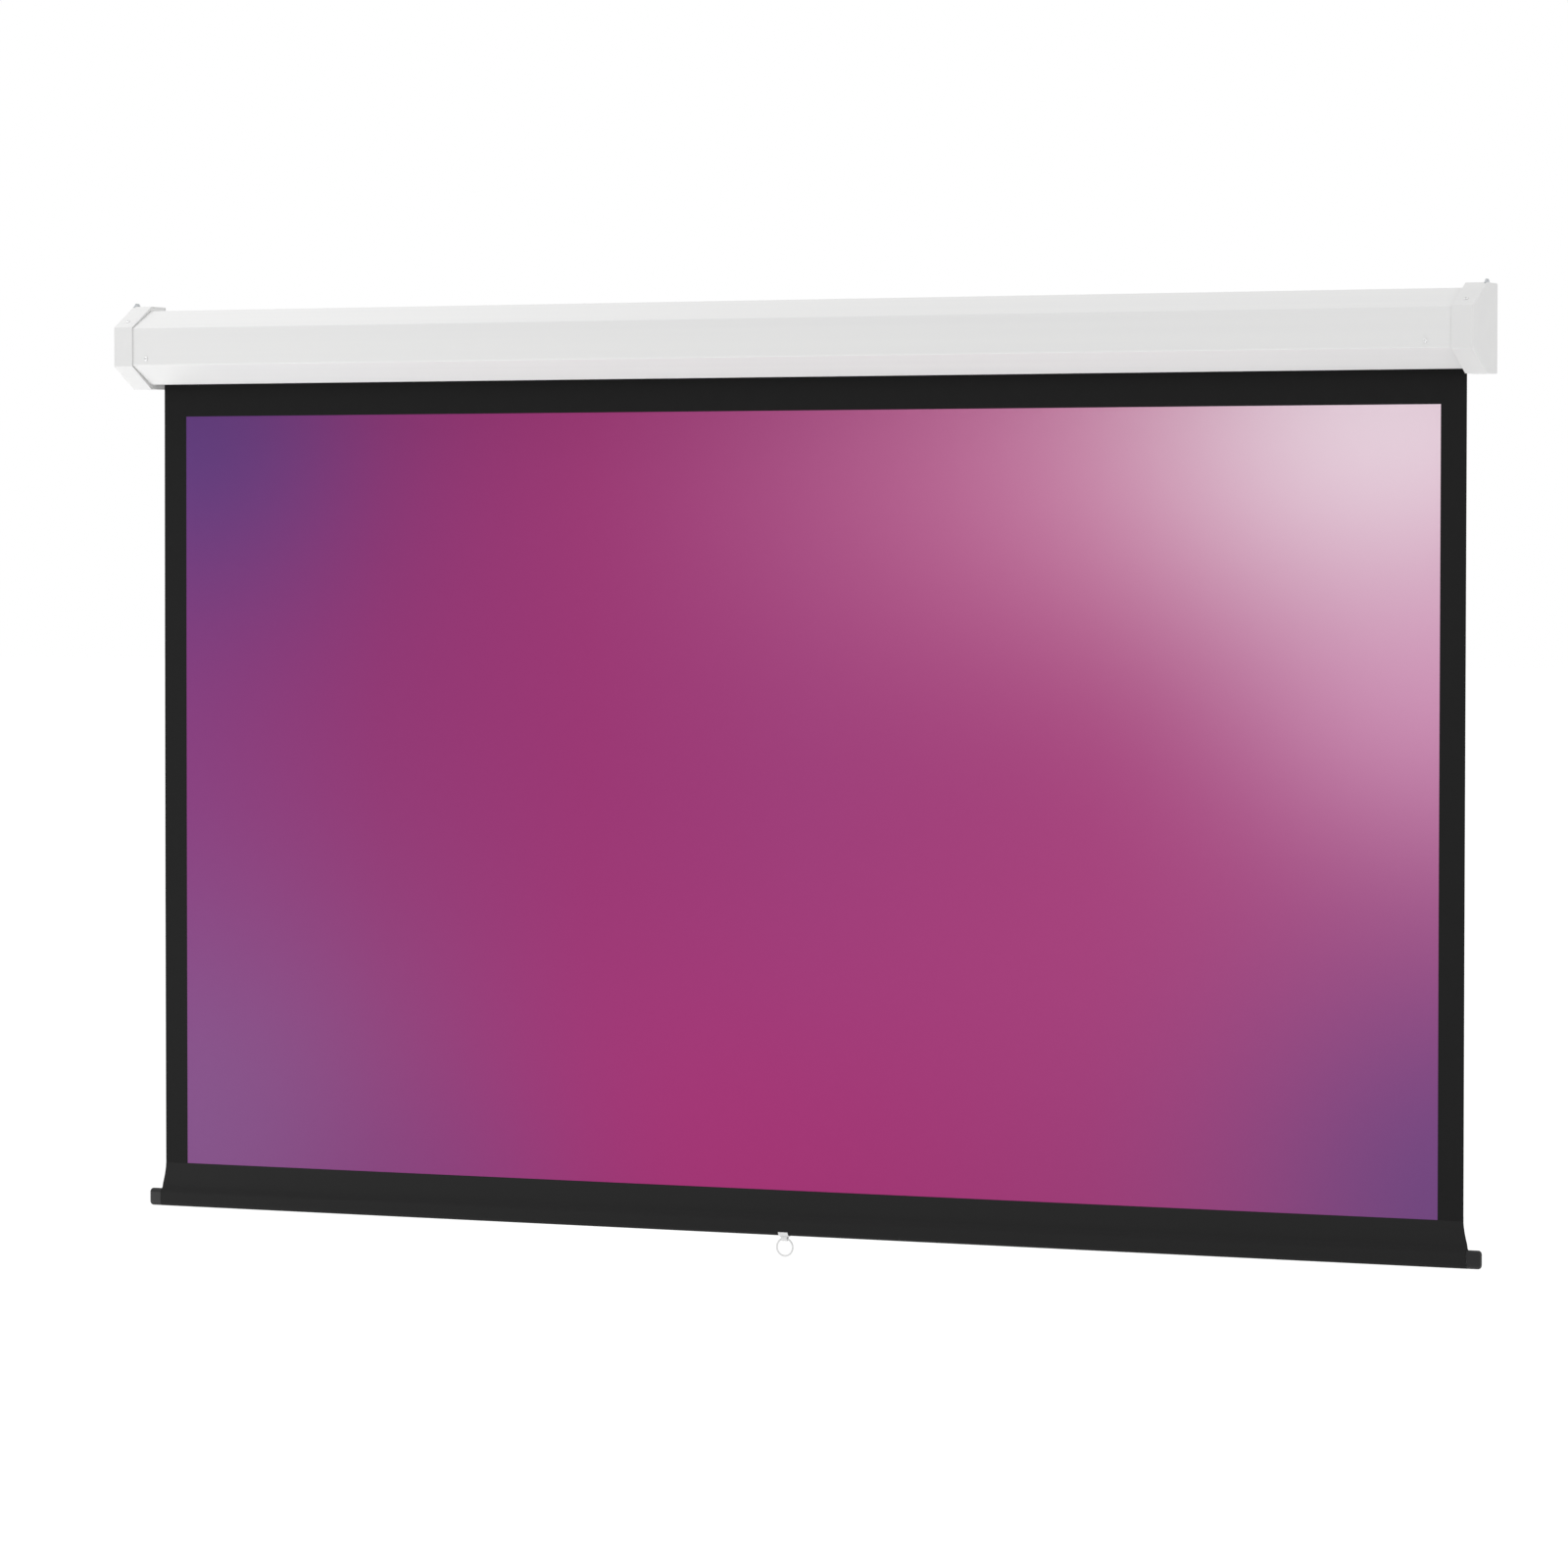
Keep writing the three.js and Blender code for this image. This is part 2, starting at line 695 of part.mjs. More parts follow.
// Pawl, drawn about its pivot with its nose in a tooth that faces along +Y
function pawl() {
  const [pivotY, pivotZ] = polar(pawlPivotRadius, -pawlLagAngle);
  const ramp = (360 / ratchetTeeth) * ratchetRampShare;
  const noseRadius = rampRadius(0) + 2 * seatGap;
  const outline = [
    [noseRadius + pawlNoseWidth, -seatGap],
    [noseRadius, -seatGap],
  ];
  for (let step = 1; step <= cornerSteps; step++) {
    const share = step / cornerSteps;
    outline.push(polar(rampRadius(share) + 2 * seatGap, -ramp * share));
  }
  outline.push([pivotY - pawlBossRadius, pivotZ], [pivotY + pawlBossRadius, pivotZ]);
  const centred = outline.map(([y, z]) => [y - pivotY, z - pivotZ]).reverse();
  const arm = prism(outlineShape(centred), ratchetInnerX, ratchetOuterX);
  const boss = rod(ratchetInnerX, ratchetOuterX, pawlBossRadius, pinSides);
  const bore = rod(ratchetInnerX - cutOver, ratchetOuterX + cutOver, pawlPinRadius + seatGap, pinSides);
  return cut(join(arm, boss), bore);
}

function pawlPin() {
  const innerHeadX = tubeEndX - seatGap;
  const outerHeadX = ratchetOuterX + seatGap;
  const profile = [
    [innerHeadX - pawlPinHeadHeight, 0],
    [innerHeadX - pawlPinHeadHeight, pawlPinHeadRadius],
    [innerHeadX, pawlPinHeadRadius],
    [innerHeadX, pawlPinRadius],
    [outerHeadX, pawlPinRadius],
    [outerHeadX, pawlPinHeadRadius],
    [outerHeadX + pawlPinHeadHeight, pawlPinHeadRadius],
    [outerHeadX + pawlPinHeadHeight, 0],
  ];
  return solid(turned(profile, pinSides));
}

// Plug that closes an end of the roller tube, with a rim outside it when rimLength is over 0
function endPlug(bore, rimLength) {
  const innerX = tubeEndX - plugLength;
  const sleeveRadius = tubeBore - seatGap;
  const outline = [
    [innerX, bore],
    [plugFaceX, bore],
    [plugFaceX, rollerRadius - pawlRimWall],
    [plugFaceX + rimLength, rollerRadius - pawlRimWall],
    [plugFaceX + rimLength, rollerRadius],
    [tubeEndX + seatGap, rollerRadius],
    [tubeEndX + seatGap, sleeveRadius],
    [innerX, sleeveRadius],
    [innerX, sleeveRadius - plugSleeveWall],
    [tubeEndX, sleeveRadius - plugSleeveWall],
    [tubeEndX, bore + plugHubWall],
    [innerX, bore + plugHubWall],
    [innerX, bore],
  ];
  const distinct = outline.filter(([x, radius], i) => {
    const before = outline[i - 1];
    return !before || before[0] !== x || before[1] !== radius;
  });
  return solid(turned(distinct, tubeSides));
}

const bushingRadius = spindleRadius + seatGap + bushingWall;

function pawlAngle(index) {
  return firstToothAngle + (360 / pawlCount) * index;
}

function pawlCarrier() {
  const holes = [];
  for (let index = 0; index < pawlCount; index++) {
    const [y, z] = polar(pawlPivotRadius, pawlAngle(index) - pawlLagAngle);
    const hole = rod(tubeEndX - cutOver, plugFaceX + cutOver, pawlPinRadius + seatGap, pinSides);
    holes.push(hole.translate(0, y, z));
  }
  return cut(endPlug(bushingRadius + seatGap, pawlRimLength), ...holes);
}

function spindleBushing() {
  return solid(ring(tubeEndX - plugLength, plugFaceX, spindleRadius + seatGap, bushingRadius));
}

// Mainspring: one round wire wound about the spindle, its two ends straight along the spindle
function springPath() {
  const places = [];
  const count = springTurns * springSteps;
  for (let step = 0; step <= count; step++) {
    const x = springInnerX + springWire + (springPitch * step) / springSteps;
    places.push({ x, angle: (2 * Math.PI * step) / springSteps });
  }
  const first = { x: springInnerX, angle: places[0].angle };
  const last = { x: springOuterX, angle: places.at(-1).angle };
  return [first, ...places, last].map(({ x, angle }) => ({
    radial: new THREE.Vector3(0, Math.cos(angle), Math.sin(angle)),
    point: new THREE.Vector3(x, springRadius * Math.cos(angle), springRadius * Math.sin(angle)),
  }));
}

function leastTurnGap(path) {
  let least = Infinity;
  for (let i = 0; i < path.length; i++) {
    for (let j = i + springSteps / 2; j < path.length; j++) {
      least = Math.min(least, path[i].point.distanceTo(path[j].point) - springWire);
    }
  }
  return least;
}

function mainspring() {
  const path = springPath();
  console.log("least gap between turns of the mainspring, mm:", leastTurnGap(path).toFixed(2));
  const positions = [];
  path.forEach(({ point, radial }, i) => {
    const before = path[Math.max(i - 1, 0)].point;
    const after = path[Math.min(i + 1, path.length - 1)].point;
    const onEnd = i === 0 || i === path.length - 1;
    const tangent = onEnd ? sideways : after.clone().sub(before).normalize();
    const across = tangent.clone().cross(radial).normalize();
    for (let side = 0; side < springSides; side++) {
      const turn = (2 * Math.PI * side) / springSides;
      const place = point
        .clone()
        .addScaledVector(radial, (springWire / 2) * Math.cos(turn))
        .addScaledVector(across, (springWire / 2) * Math.sin(turn));
      positions.push(...place.toArray());
    }
  });
  const indices = [];
  for (let i = 0; i + 1 < path.length; i++) {
    for (let side = 0; side < springSides; side++) {
      const next = (side + 1) % springSides;
      const here = i * springSides;
      const there = here + springSides;
      indices.push(here + side, here + next, there + side);
      indices.push(here + next, there + next, there + side);
    }
  }
  const lastRing = (path.length - 1) * springSides;
  for (let side = 1; side + 1 < springSides; side++) {
    indices.push(0, side + 1, side);
    indices.push(lastRing, lastRing + side, lastRing + side + 1);
  }
  const geometry = new THREE.BufferGeometry();
  geometry.setAttribute("position", new THREE.BufferAttribute(new Float32Array(positions), 3));
  geometry.setIndex(indices);
  return solid(geometry);
}

function springCollar() {
  const bore = spindleRadius + seatGap;
  const flangeX = collarInnerX + collarFlange;
  const outline = [
    [collarInnerX, bore],
    [collarOuterX, bore],
    [collarOuterX, collarHubRadius],
    [flangeX, collarHubRadius],
    [flangeX, springSeatRadius],
    [collarInnerX, springSeatRadius],
    [collarInnerX, bore],
  ];
  return cut(solid(turned(outline)), crossPinHole(collarPinX, collarHubRadius + cutOver));
}

function springAnchor() {
  const bore = spindleRadius + seatGap;
  const hubX = anchorInnerX - anchorHubLength;
  const outline = [
    [hubX, bore],
    [anchorOuterX, bore],
    [anchorOuterX, tubeBore - seatGap],
    [anchorInnerX, tubeBore - seatGap],
    [anchorInnerX, collarHubRadius],
    [hubX, collarHubRadius],
    [hubX, bore],
  ];
  return solid(turned(outline, tubeSides));
}

// Idle gudgeon: a stepped pin in the right plug that turns in the right bracket's bushing
const gudgeonPinX = tubeEndX - plugLength / 2;
const gudgeonPinReach = gudgeonRadius + plugHubWall;

function idlePlug() {
  const hub = gudgeonRadius + seatGap + plugHubWall;
  return cut(endPlug(gudgeonRadius + seatGap, 0), crossPinHole(gudgeonPinX, hub + cutOver));
}

function idleGudgeon() {
  const body = turned([
    [tubeEndX - plugLength, 0],
    [tubeEndX - plugLength, gudgeonRadius],
    [plugFaceX + seatGap, gudgeonRadius],
    [plugFaceX + seatGap, gudgeonShoulderRadius],
    [idleBushingInnerX - axialPlay, gudgeonShoulderRadius],
    [idleBushingInnerX - axialPlay, gudgeonRadius],
    [plateOuterX, gudgeonRadius],
    [plateOuterX, 0],
  ]);
  return cut(solid(body), crossPinHole(gudgeonPinX, gudgeonRadius + cutOver));
}

function idleBushing() {
  const bore = gudgeonRadius + seatGap;
  const sleeve = bore + idleBushingWall;
  const flangeFaceX = plateInnerX - seatGap;
  return solid(
    turned([
      [idleBushingInnerX, bore],
      [plateOuterX, bore],
      [plateOuterX, sleeve],
      [flangeFaceX, sleeve],
      [flangeFaceX, sleeve + idleBushingFlangeWidth],
      [idleBushingInnerX, sleeve + idleBushingFlangeWidth],
      [idleBushingInnerX, bore],
    ]),
  );
}

// Screen cloth, from where it leaves the roller down to the pocket
function screenCloth() {
  const low = [-clothHalf, clothFrontY, pictureBottomZ + seatGap];
  return solid(block(low, [clothHalf, clothBackY, 0]));
}

// The bar's section: two straight sides with half-round ends, standing upright
function barPrism(height, depth, startX, endX, bevel = 0) {
  const radius = depth / 2;
  const straight = height / 2 - radius;
  const arc = new THREE.Shape();
  arc.absarc(0, straight, radius, 0, Math.PI, false);
  arc.absarc(0, -straight, radius, Math.PI, 2 * Math.PI, false);
  const outline = new THREE.Shape(arc.getPoints(pinSides / 2));
  return prism(outline, startX, endX, bevel);
}

const pocketInside = 2 * pocketWall;
const barInset = pocketInside + 2 * seatGap;
const tubeInside = barInset + 2 * barWall;
const clipHoleRadius = clipScrewRadius + seatGap;

function clipScrewBase(side) {
  const saddleFace = seatGap + saddleThickness + seatGap;
  return new THREE.Vector3((side * clipScrewSpacing) / 2, 0, -barHeight / 2 - saddleFace);
}

function clipScrewHoles() {
  return [springEnd, idleEnd].map((side) =>
    pinAlong(clipHoleRadius, cutOver, clipScrewLength + cutOver, clipScrewBase(side), downwards),
  );
}

function bottomPocket() {
  const topZ = pictureBottomZ - barMidZ;
  const footZ = barHeight / 2 - pocketWall / 2;
  const hem = [
    [-pocketHalf, footZ],
    [pocketHalf, footZ],
    [clothHalf, topZ],
    [-clothHalf, topZ],
  ];
  const outer = barPrism(barHeight, barDepth, -pocketHalf, pocketHalf);
  const inner = barPrism(
    barHeight - pocketInside,
    barDepth - pocketInside,
    -pocketHalf - cutOver,
    pocketHalf + cutOver,
  );
  const sleeve = cut(solid(outer), inner);
  return cut(sleeve.add(solid(sheet(hem, -pocketWall / 2, pocketWall / 2))), ...clipScrewHoles());
}

function barTube() {
  const outer = barPrism(barHeight - barInset, barDepth - barInset, -pocketHalf, pocketHalf);
  const bore = barPrism(
    barHeight - tubeInside,
    barDepth - tubeInside,
    -pocketHalf - cutOver,
    pocketHalf + cutOver,
  );
  return cut(solid(outer), bore, ...clipScrewHoles());
}

function barEndCap() {
  const faceX = pocketHalf + seatGap;
  const spigotInset = tubeInside + 2 * seatGap;
  const hollowInset = spigotInset + 2 * spigotWall;
  const knob = barPrism(barHeight, barDepth, faceX - barCapBevel, barHalf, barCapBevel);
  const behindFace = block(
    [faceX - barCapBevel - cutOver, -barDepth, -barHeight],
    [faceX, barDepth, barHeight],
  );
  const spigot = barPrism(
    barHeight - spigotInset,
    barDepth - spigotInset,
    pocketHalf - spigotLength,
    faceX + spigotWall,
  );
  const hollow = barPrism(
    barHeight - hollowInset,
    barDepth - hollowInset,
    pocketHalf - spigotLength - cutOver,
    faceX,
  );
  return cut(cut(solid(knob), behindFace).add(solid(spigot)), hollow);
}

// Ring clip: a saddle under the bar with an eye for the pull ring
function ringClip() {
  const half = saddleWidth / 2;
  const inner = 2 * seatGap;
  const outer = inner + 2 * saddleThickness;
  const saddle = barPrism(barHeight + outer, barDepth + outer, -half, half);
  const barSpace = barPrism(barHeight + inner, barDepth + inner, -half - cutOver, half + cutOver);
  const aboveSaddle = block(
    [-half - cutOver, -barDepth, -barHeight / 2 + saddleRise],
    [half + cutOver, barDepth, barHeight],
  );
  const eyeZ = -barHeight / 2 - eyeDrop;
  const lugRadius = eyeRadius + lugWall;
  const lug = rod(-lugWidth / 2, lugWidth / 2, lugRadius).translate(0, 0, eyeZ);
  const eye = rod(-lugWidth / 2 - cutOver, lugWidth / 2 + cutOver, eyeRadius).translate(0, 0, eyeZ);
  return cut(join(saddle, lug), barSpace, aboveSaddle, eye, ...clipScrewHoles());
}

function clipScrew(side) {
  const base = clipScrewBase(side);
  return solid(
    screw(clipScrewHeadRadius, clipScrewHeadHeight, clipScrewRadius, clipScrewLength, base, downwards),
  );
}

// Pull ring, hanging from the eye by the middle of its wire
function pullRing() {
  const meanRadius = (ringWidth - ringWire) / 2;
  const torus = new THREE.TorusGeometry(meanRadius, ringWire / 2, ringSides, ringSteps);
  return solid(torus.rotateX(Math.PI / 2).translate(0, 0, -meanRadius));
}

// Everything that the wall and the brackets hold still
addPiece(screen, "case_shell", finishes.caseEnamel, caseShell());
for (const [end, side] of [["left", springEnd], ["right", idleEnd]]) {
  addPiece(screen, `end_cap_${end}`, finishes.capPlastic, endCap(), side);
  addPiece(screen, `bracket_plate_${end}`, finishes.zincSteel, bracketPlate(side), side);
  addPiece(screen, `case_screw_${end}`, finishes.screwSteel, caseScrew(side), side);
  addPiece(screen, `cap_screw_${end}`, finishes.screwSteel, capScrew(), side);
}
addPiece(screen, "screen_cloth", finishes.screenCloth, screenCloth());
addPiece(rollerLine, "spindle", finishes.hardSteel, spindle(), springEnd);
addPiece(rollerLine, "ratchet_wheel", finishes.hardSteel, ratchetWheel(), springEnd);
addPiece(rollerLine, "ratchet_key", finishes.hardSteel, ratchetKey(), springEnd);
addPiece(rollerLine, "spindle_clip", finishes.springSteel, spindleClip(), springEnd);
addPiece(rollerLine, "spring_collar", finishes.diecast, springCollar(), springEnd);
addPiece(rollerLine, "collar_pin", finishes.hardSteel, crossPin(collarPinX, collarPinReach), springEnd);
addPiece(rollerLine, "mainspring", finishes.springSteel, mainspring(), springEnd);
addPiece(rollerLine, "idle_bushing", finishes.nylon, idleBushing(), idleEnd);

// The roller and what turns with it
addPiece(
  rollerLine,
  "roller_tube",
  finishes.tubeAluminium,
  solid(ring(-tubeEndX, tubeEndX, tubeBore, rollerRadius, tubeSides)),
);
addPiece(
  rollerLine,
  "cloth_wraps",
  finishes.blackCloth,
  solid(ring(-clothHalf, clothHalf, wrapInnerRadius, wrapRadius, tubeSides)),
);
addPiece(rollerLine, "pawl_carrier", finishes.diecast, pawlCarrier(), springEnd);
addPiece(rollerLine, "spindle_bushing", finishes.nylon, spindleBushing(), springEnd);
addPiece(rollerLine, "spring_anchor", finishes.diecast, springAnchor(), springEnd);
addPiece(rollerLine, "idle_plug", finishes.diecast, idlePlug(), idleEnd);
addPiece(rollerLine, "idle_gudgeon", finishes.hardSteel, idleGudgeon(), idleEnd);
addPiece(rollerLine, "gudgeon_pin", finishes.hardSteel, crossPin(gudgeonPinX, gudgeonPinReach), idleEnd);
for (let index = 0; index < pawlCount; index++) {
  const letter = "ab"[index];
  const pivot = new THREE.Group();
  pivot.position.set(0, ...polar(pawlPivotRadius, pawlAngle(index) - pawlLagAngle));
  addPiece(pivot, `pawl_pin_${letter}`, finishes.hardSteel, pawlPin(), springEnd);
  const swing = new THREE.Group();
  swing.rotation.x = (pawlAngle(index) - pawlLiftAngle) * radians;
  addPiece(swing, `pawl_${letter}`, finishes.hardSteel, pawl(), springEnd);
  pivot.add(swing);
  rollerLine.add(pivot);
}

// The bar at the foot of the cloth, and the ring that hangs from it
addPiece(bottomBar, "bottom_pocket", finishes.blackCloth, bottomPocket());
addPiece(bottomBar, "bar_tube", finishes.tubeAluminium, barTube());
addPiece(bottomBar, "bar_end_cap_left", finishes.blackPlastic, barEndCap(), springEnd);
addPiece(bottomBar, "bar_end_cap_right", finishes.blackPlastic, barEndCap(), idleEnd);
addPiece(bottomBar, "ring_clip", finishes.ringPlastic, ringClip());
addPiece(bottomBar, "clip_screw_left", finishes.screwSteel, clipScrew(springEnd));
addPiece(bottomBar, "clip_screw_right", finishes.screwSteel, clipScrew(idleEnd));
addPiece(ringHinge, "pull_ring", finishes.ringPlastic, pullRing());

export default screen;
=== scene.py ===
# %% [markdown]
# # Dressing a pull-down projector screen
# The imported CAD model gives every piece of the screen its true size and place. This script gives the pieces
# their finish: enamelled steel, moulded plastic, woven cloth, bright screws. Where a CAD solid is plainer
# than the real piece, a finer mesh is built over it in the same place. Sizes here are in millimetres, as on
# a workshop drawing, and `MM` turns them into Blender's metres.

import json
import math

import bmesh
import bpy
from mathutils import Matrix, Vector


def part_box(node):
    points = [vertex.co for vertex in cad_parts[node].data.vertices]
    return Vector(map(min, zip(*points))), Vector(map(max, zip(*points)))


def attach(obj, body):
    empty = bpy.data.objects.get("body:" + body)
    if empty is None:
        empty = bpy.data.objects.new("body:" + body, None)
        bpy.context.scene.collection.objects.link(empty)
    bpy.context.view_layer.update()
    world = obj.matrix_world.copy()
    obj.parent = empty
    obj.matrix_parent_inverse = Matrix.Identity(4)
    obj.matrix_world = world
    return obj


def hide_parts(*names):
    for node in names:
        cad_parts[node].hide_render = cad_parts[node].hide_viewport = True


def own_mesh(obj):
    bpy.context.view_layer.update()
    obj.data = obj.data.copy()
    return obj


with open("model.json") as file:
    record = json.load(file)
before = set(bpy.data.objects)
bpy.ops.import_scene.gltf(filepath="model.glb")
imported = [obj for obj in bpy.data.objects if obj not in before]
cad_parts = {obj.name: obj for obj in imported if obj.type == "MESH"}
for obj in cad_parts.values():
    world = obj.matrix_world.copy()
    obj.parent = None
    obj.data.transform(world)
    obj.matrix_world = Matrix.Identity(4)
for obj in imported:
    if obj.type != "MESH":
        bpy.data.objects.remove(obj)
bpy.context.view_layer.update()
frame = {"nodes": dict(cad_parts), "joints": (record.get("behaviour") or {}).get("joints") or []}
MM = 0.001

# %% [markdown]
# ## The camera
# The photograph was taken from the right of the screen with a long lens, a little below the case. The lens
# and the place come from fitting the picture's four corners, so the lines of the case and the bar run as
# they do in the photograph. The camera has no shift and no depth of field.

# %% Place the camera
LENS_MM, SENSOR_MM, FAR_CLIP_M = 154.887, 36, 500
CAMERA_PLACE = Vector((5.573554, -11.589233, -0.429937))
CAMERA_TURN = 0.44915
CAMERA_TILT = -0.0324
CAMERA_ROLL = -0.001

lens = bpy.data.cameras.new("camera")
lens.sensor_width = SENSOR_MM
lens.lens = LENS_MM
lens.clip_end = FAR_CLIP_M
camera = bpy.data.objects.new("camera", lens)
upright = Matrix.Rotation(math.radians(90), 4, "X")
roll = Matrix.Rotation(CAMERA_ROLL, 4, "Y")
tilt = Matrix.Rotation(CAMERA_TILT, 4, "X")
turn = Matrix.Rotation(CAMERA_TURN, 4, "Z")
camera.matrix_world = Matrix.Translation(CAMERA_PLACE) @ turn @ tilt @ roll @ upright
bpy.context.scene.collection.objects.link(camera)
bpy.context.scene.camera = camera
print("camera turned", round(math.degrees(CAMERA_TURN), 1), "degrees to the left")

# %% [markdown]
# ## Writing shader maths as plain expressions
# Node trees are hard to read as lists of links. `Wire` wraps one socket and lets Python's operators add the
# Math nodes, so `0.4 + 0.1 * grain` builds two nodes. `Bench` makes every other kind of node through one
# method: its settings are set first, then its sockets get values or links.

# %% A bench for nodes and the wires between them
class Wire:
    """One output socket. An operator on it adds the Math node that does the sum."""

    def __init__(self, bench, socket):
        self.bench = bench
        self.socket = socket

    def math(self, operation, *terms):
        return self.bench.node("ShaderNodeMath", {"operation": operation}, dict(enumerate(terms)))

    def __add__(self, other):
        return self.math("ADD", self, other)

    def __radd__(self, other):
        return self.math("ADD", other, self)

    def __sub__(self, other):
        return self.math("SUBTRACT", self, other)

    def __rsub__(self, other):
        return self.math("SUBTRACT", other, self)

    def __mul__(self, other):
        return self.math("MULTIPLY", self, other)

    def __rmul__(self, other):
        return self.math("MULTIPLY", other, self)

    def __truediv__(self, other):
        return self.math("DIVIDE", self, other)

    def __gt__(self, other):
        return self.math("GREATER_THAN", self, other)

    def sine(self):
        return self.math("SINE", self)

    def exponent(self):
        return self.math("EXPONENT", self)


class Bench:
    """A node tree being wired."""

    def __init__(self, tree):
        self.tree = tree

    def node(self, kind, settings=None, inputs=None, output=0):
        made = self.tree.nodes.new(kind)
        for name, value in (settings or {}).items():
            if name == "stops":
                self.set_stops(made.color_ramp, value)
            else:
                setattr(made, name, value)
        for key, value in (inputs or {}).items():
            self.plug(made.inputs[key], value)
        return Wire(self, made.outputs[output]) if len(made.outputs) else made

    def plug(self, socket, value):
        if isinstance(value, Wire):
            self.tree.links.new(value.socket, socket)
        else:
            socket.default_value = value

    @staticmethod
    def set_stops(ramp, stops):
        while len(ramp.elements) < len(stops):
            ramp.elements.new(1)
        for element, (position, colour) in zip(ramp.elements, stops):
            element.position = position
            element.color = colour


def seen_by(bench, *rays):
    """1 for the named kinds of ray and 0 for all others."""
    path = bench.node("ShaderNodeLightPath").socket.node
    first, *others = [Wire(bench, path.outputs["Is %s Ray" % ray]) for ray in rays]
    return sum(others, first)


print("bench ready")

# %% [markdown]
# ## A finish is a Principled shader with a few habits
# Every finish reads object coordinates, so its grain has a real size in millimetres and needs no
# unwrapping. `grain` gives noise of a stated size, `lines` the same noise drawn out along the length of the
# screen, as on rolled or extruded metal, and `bump` turns a height into relief of a stated depth.

# %% The base for all finishes
def srgb(red, green, blue):
    """A colour read as 0 to 255 on a screen, as the linear colour that a shader takes."""
    def linear(value):
        share = value / 255
        return share / 12.92 if share <= 0.04045 else ((share + 0.055) / 1.055) ** 2.4

    return (linear(red), linear(green), linear(blue), 1)


LINE_STRETCH = 0.01


class Finish(Bench):
    """A material in the making: its tree, its shader and the ways to vary it."""

    def __init__(self, name, roughness, metallic=0.0, specular=0.5):
        self.material = bpy.data.materials.new(name)
        self.material.use_nodes = True
        super().__init__(self.material.node_tree)
        self.shader = self.tree.nodes["Principled BSDF"]
        self.feed("Roughness", roughness)
        self.feed("Metallic", metallic)
        self.feed("Specular IOR Level", specular)
        self.place = self.node("ShaderNodeTexCoord", output="Object")

    def feed(self, socket, value):
        self.plug(self.shader.inputs[socket], value)

    def grain(self, size, detail=2, along=(1, 1, 1)):
        place = self.node("ShaderNodeVectorMath", {"operation": "MULTIPLY"}, {0: self.place, 1: along})
        inputs = {"Vector": place, "Scale": 1 / (size * MM), "Detail": detail}
        return self.node("ShaderNodeTexNoise", None, inputs)

    def lines(self, size, detail=2):
        return self.grain(size, detail, (LINE_STRETCH, 1, 1))

    def axes(self):
        split = self.node("ShaderNodeSeparateXYZ", None, {0: self.place}).socket.node
        return [Wire(self, socket) for socket in split.outputs]

    def mix(self, share, one, other):
        """Two colours mixed by a share: the Mix node's colours are sockets 6 and 7 and output 2."""
        settings = {"data_type": "RGBA", "clamp_factor": True}
        return self.node("ShaderNodeMix", settings, {0: share, 6: one, 7: other}, output=2)

    def bump(self, height, depth, strength=1.0):
        inputs = {"Height": height, "Distance": depth * MM, "Strength": strength}
        self.feed("Normal", self.node("ShaderNodeBump", None, inputs))


finishes = {}
print("finish base ready")

# %% [markdown]
# ## White enamel on steel, and white moulded plastic
# The case is a rolled steel section under baked enamel. Enamel flows before it sets and leaves a very
# shallow "orange peel", which breaks up its highlight. The end caps are moulded, and their surface comes
# from a finely eroded mould. Both are almost the same white, and stay below 0.9, since no real paint
# reflects all light.

# %% Enamel and cap plastic
enamel = Finish("case_enamel", roughness=0.42)
streak = enamel.lines(size=24)
peel = enamel.grain(size=3.5, detail=3)
enamel.feed("Base Color", enamel.mix(streak, srgb(235, 235, 235), srgb(240, 240, 239)))
enamel.feed("Roughness", 0.36 + 0.14 * enamel.grain(size=60))
enamel.bump(peel, depth=0.05, strength=0.5)

cap_plastic = Finish("cap_plastic", roughness=0.5)
eroded = cap_plastic.grain(size=0.7, detail=3)
cloud = cap_plastic.grain(size=40)
cap_plastic.feed("Base Color", cap_plastic.mix(cloud, srgb(232, 232, 232), srgb(238, 238, 237)))
cap_plastic.feed("Roughness", 0.42 + 0.16 * eroded)
cap_plastic.bump(eroded, depth=0.04, strength=0.5)
print("white finishes:", enamel.material.name, "and", cap_plastic.material.name)

# %% [markdown]
# ## Metals
# The bracket plates are cut from zinc-coated sheet, whose coating freezes in crystals, called spangle.
# Voronoi cells make that pattern. Drawn, turned and extruded metal shows fine lines along its length.
# Die-cast metal is dull and mottled. All of them vary in roughness more than in colour, because that is
# what a hand-worn or machined metal shows.

# %% Zinc sheet, screws, steels, aluminium and castings
def spangle(finish, size):
    inputs = {"Vector": finish.place, "Scale": 1 / (size * MM), "Randomness": 1.0}
    cell = finish.node("ShaderNodeTexVoronoi", None, inputs, output="Color")
    return finish.node("ShaderNodeSeparateColor", None, {0: cell})


zinc = Finish("zinc_steel", roughness=0.4, metallic=1.0)
crystal = spangle(zinc, size=5)
zinc.feed("Base Color", zinc.mix(crystal, srgb(178, 181, 184), srgb(208, 211, 213)))
zinc.feed("Roughness", 0.32 + 0.2 * crystal)
zinc.bump(zinc.grain(size=1.2), depth=0.02, strength=0.4)
finishes["zinc_steel"] = zinc


def worked_metal(name, dark, light, size, roughness, drawn):
    """Bare metal with a grain of the given size, drawn out along the screen or in all directions."""
    finish = Finish(name, roughness=roughness, metallic=1.0)
    mark = finish.lines(size, detail=3) if drawn else finish.grain(size, detail=3)
    finish.feed("Base Color", finish.mix(mark, dark, light))
    finish.feed("Roughness", roughness - 0.08 + 0.16 * mark)
    finish.bump(mark, depth=0.03, strength=0.4)
    finishes[name] = finish


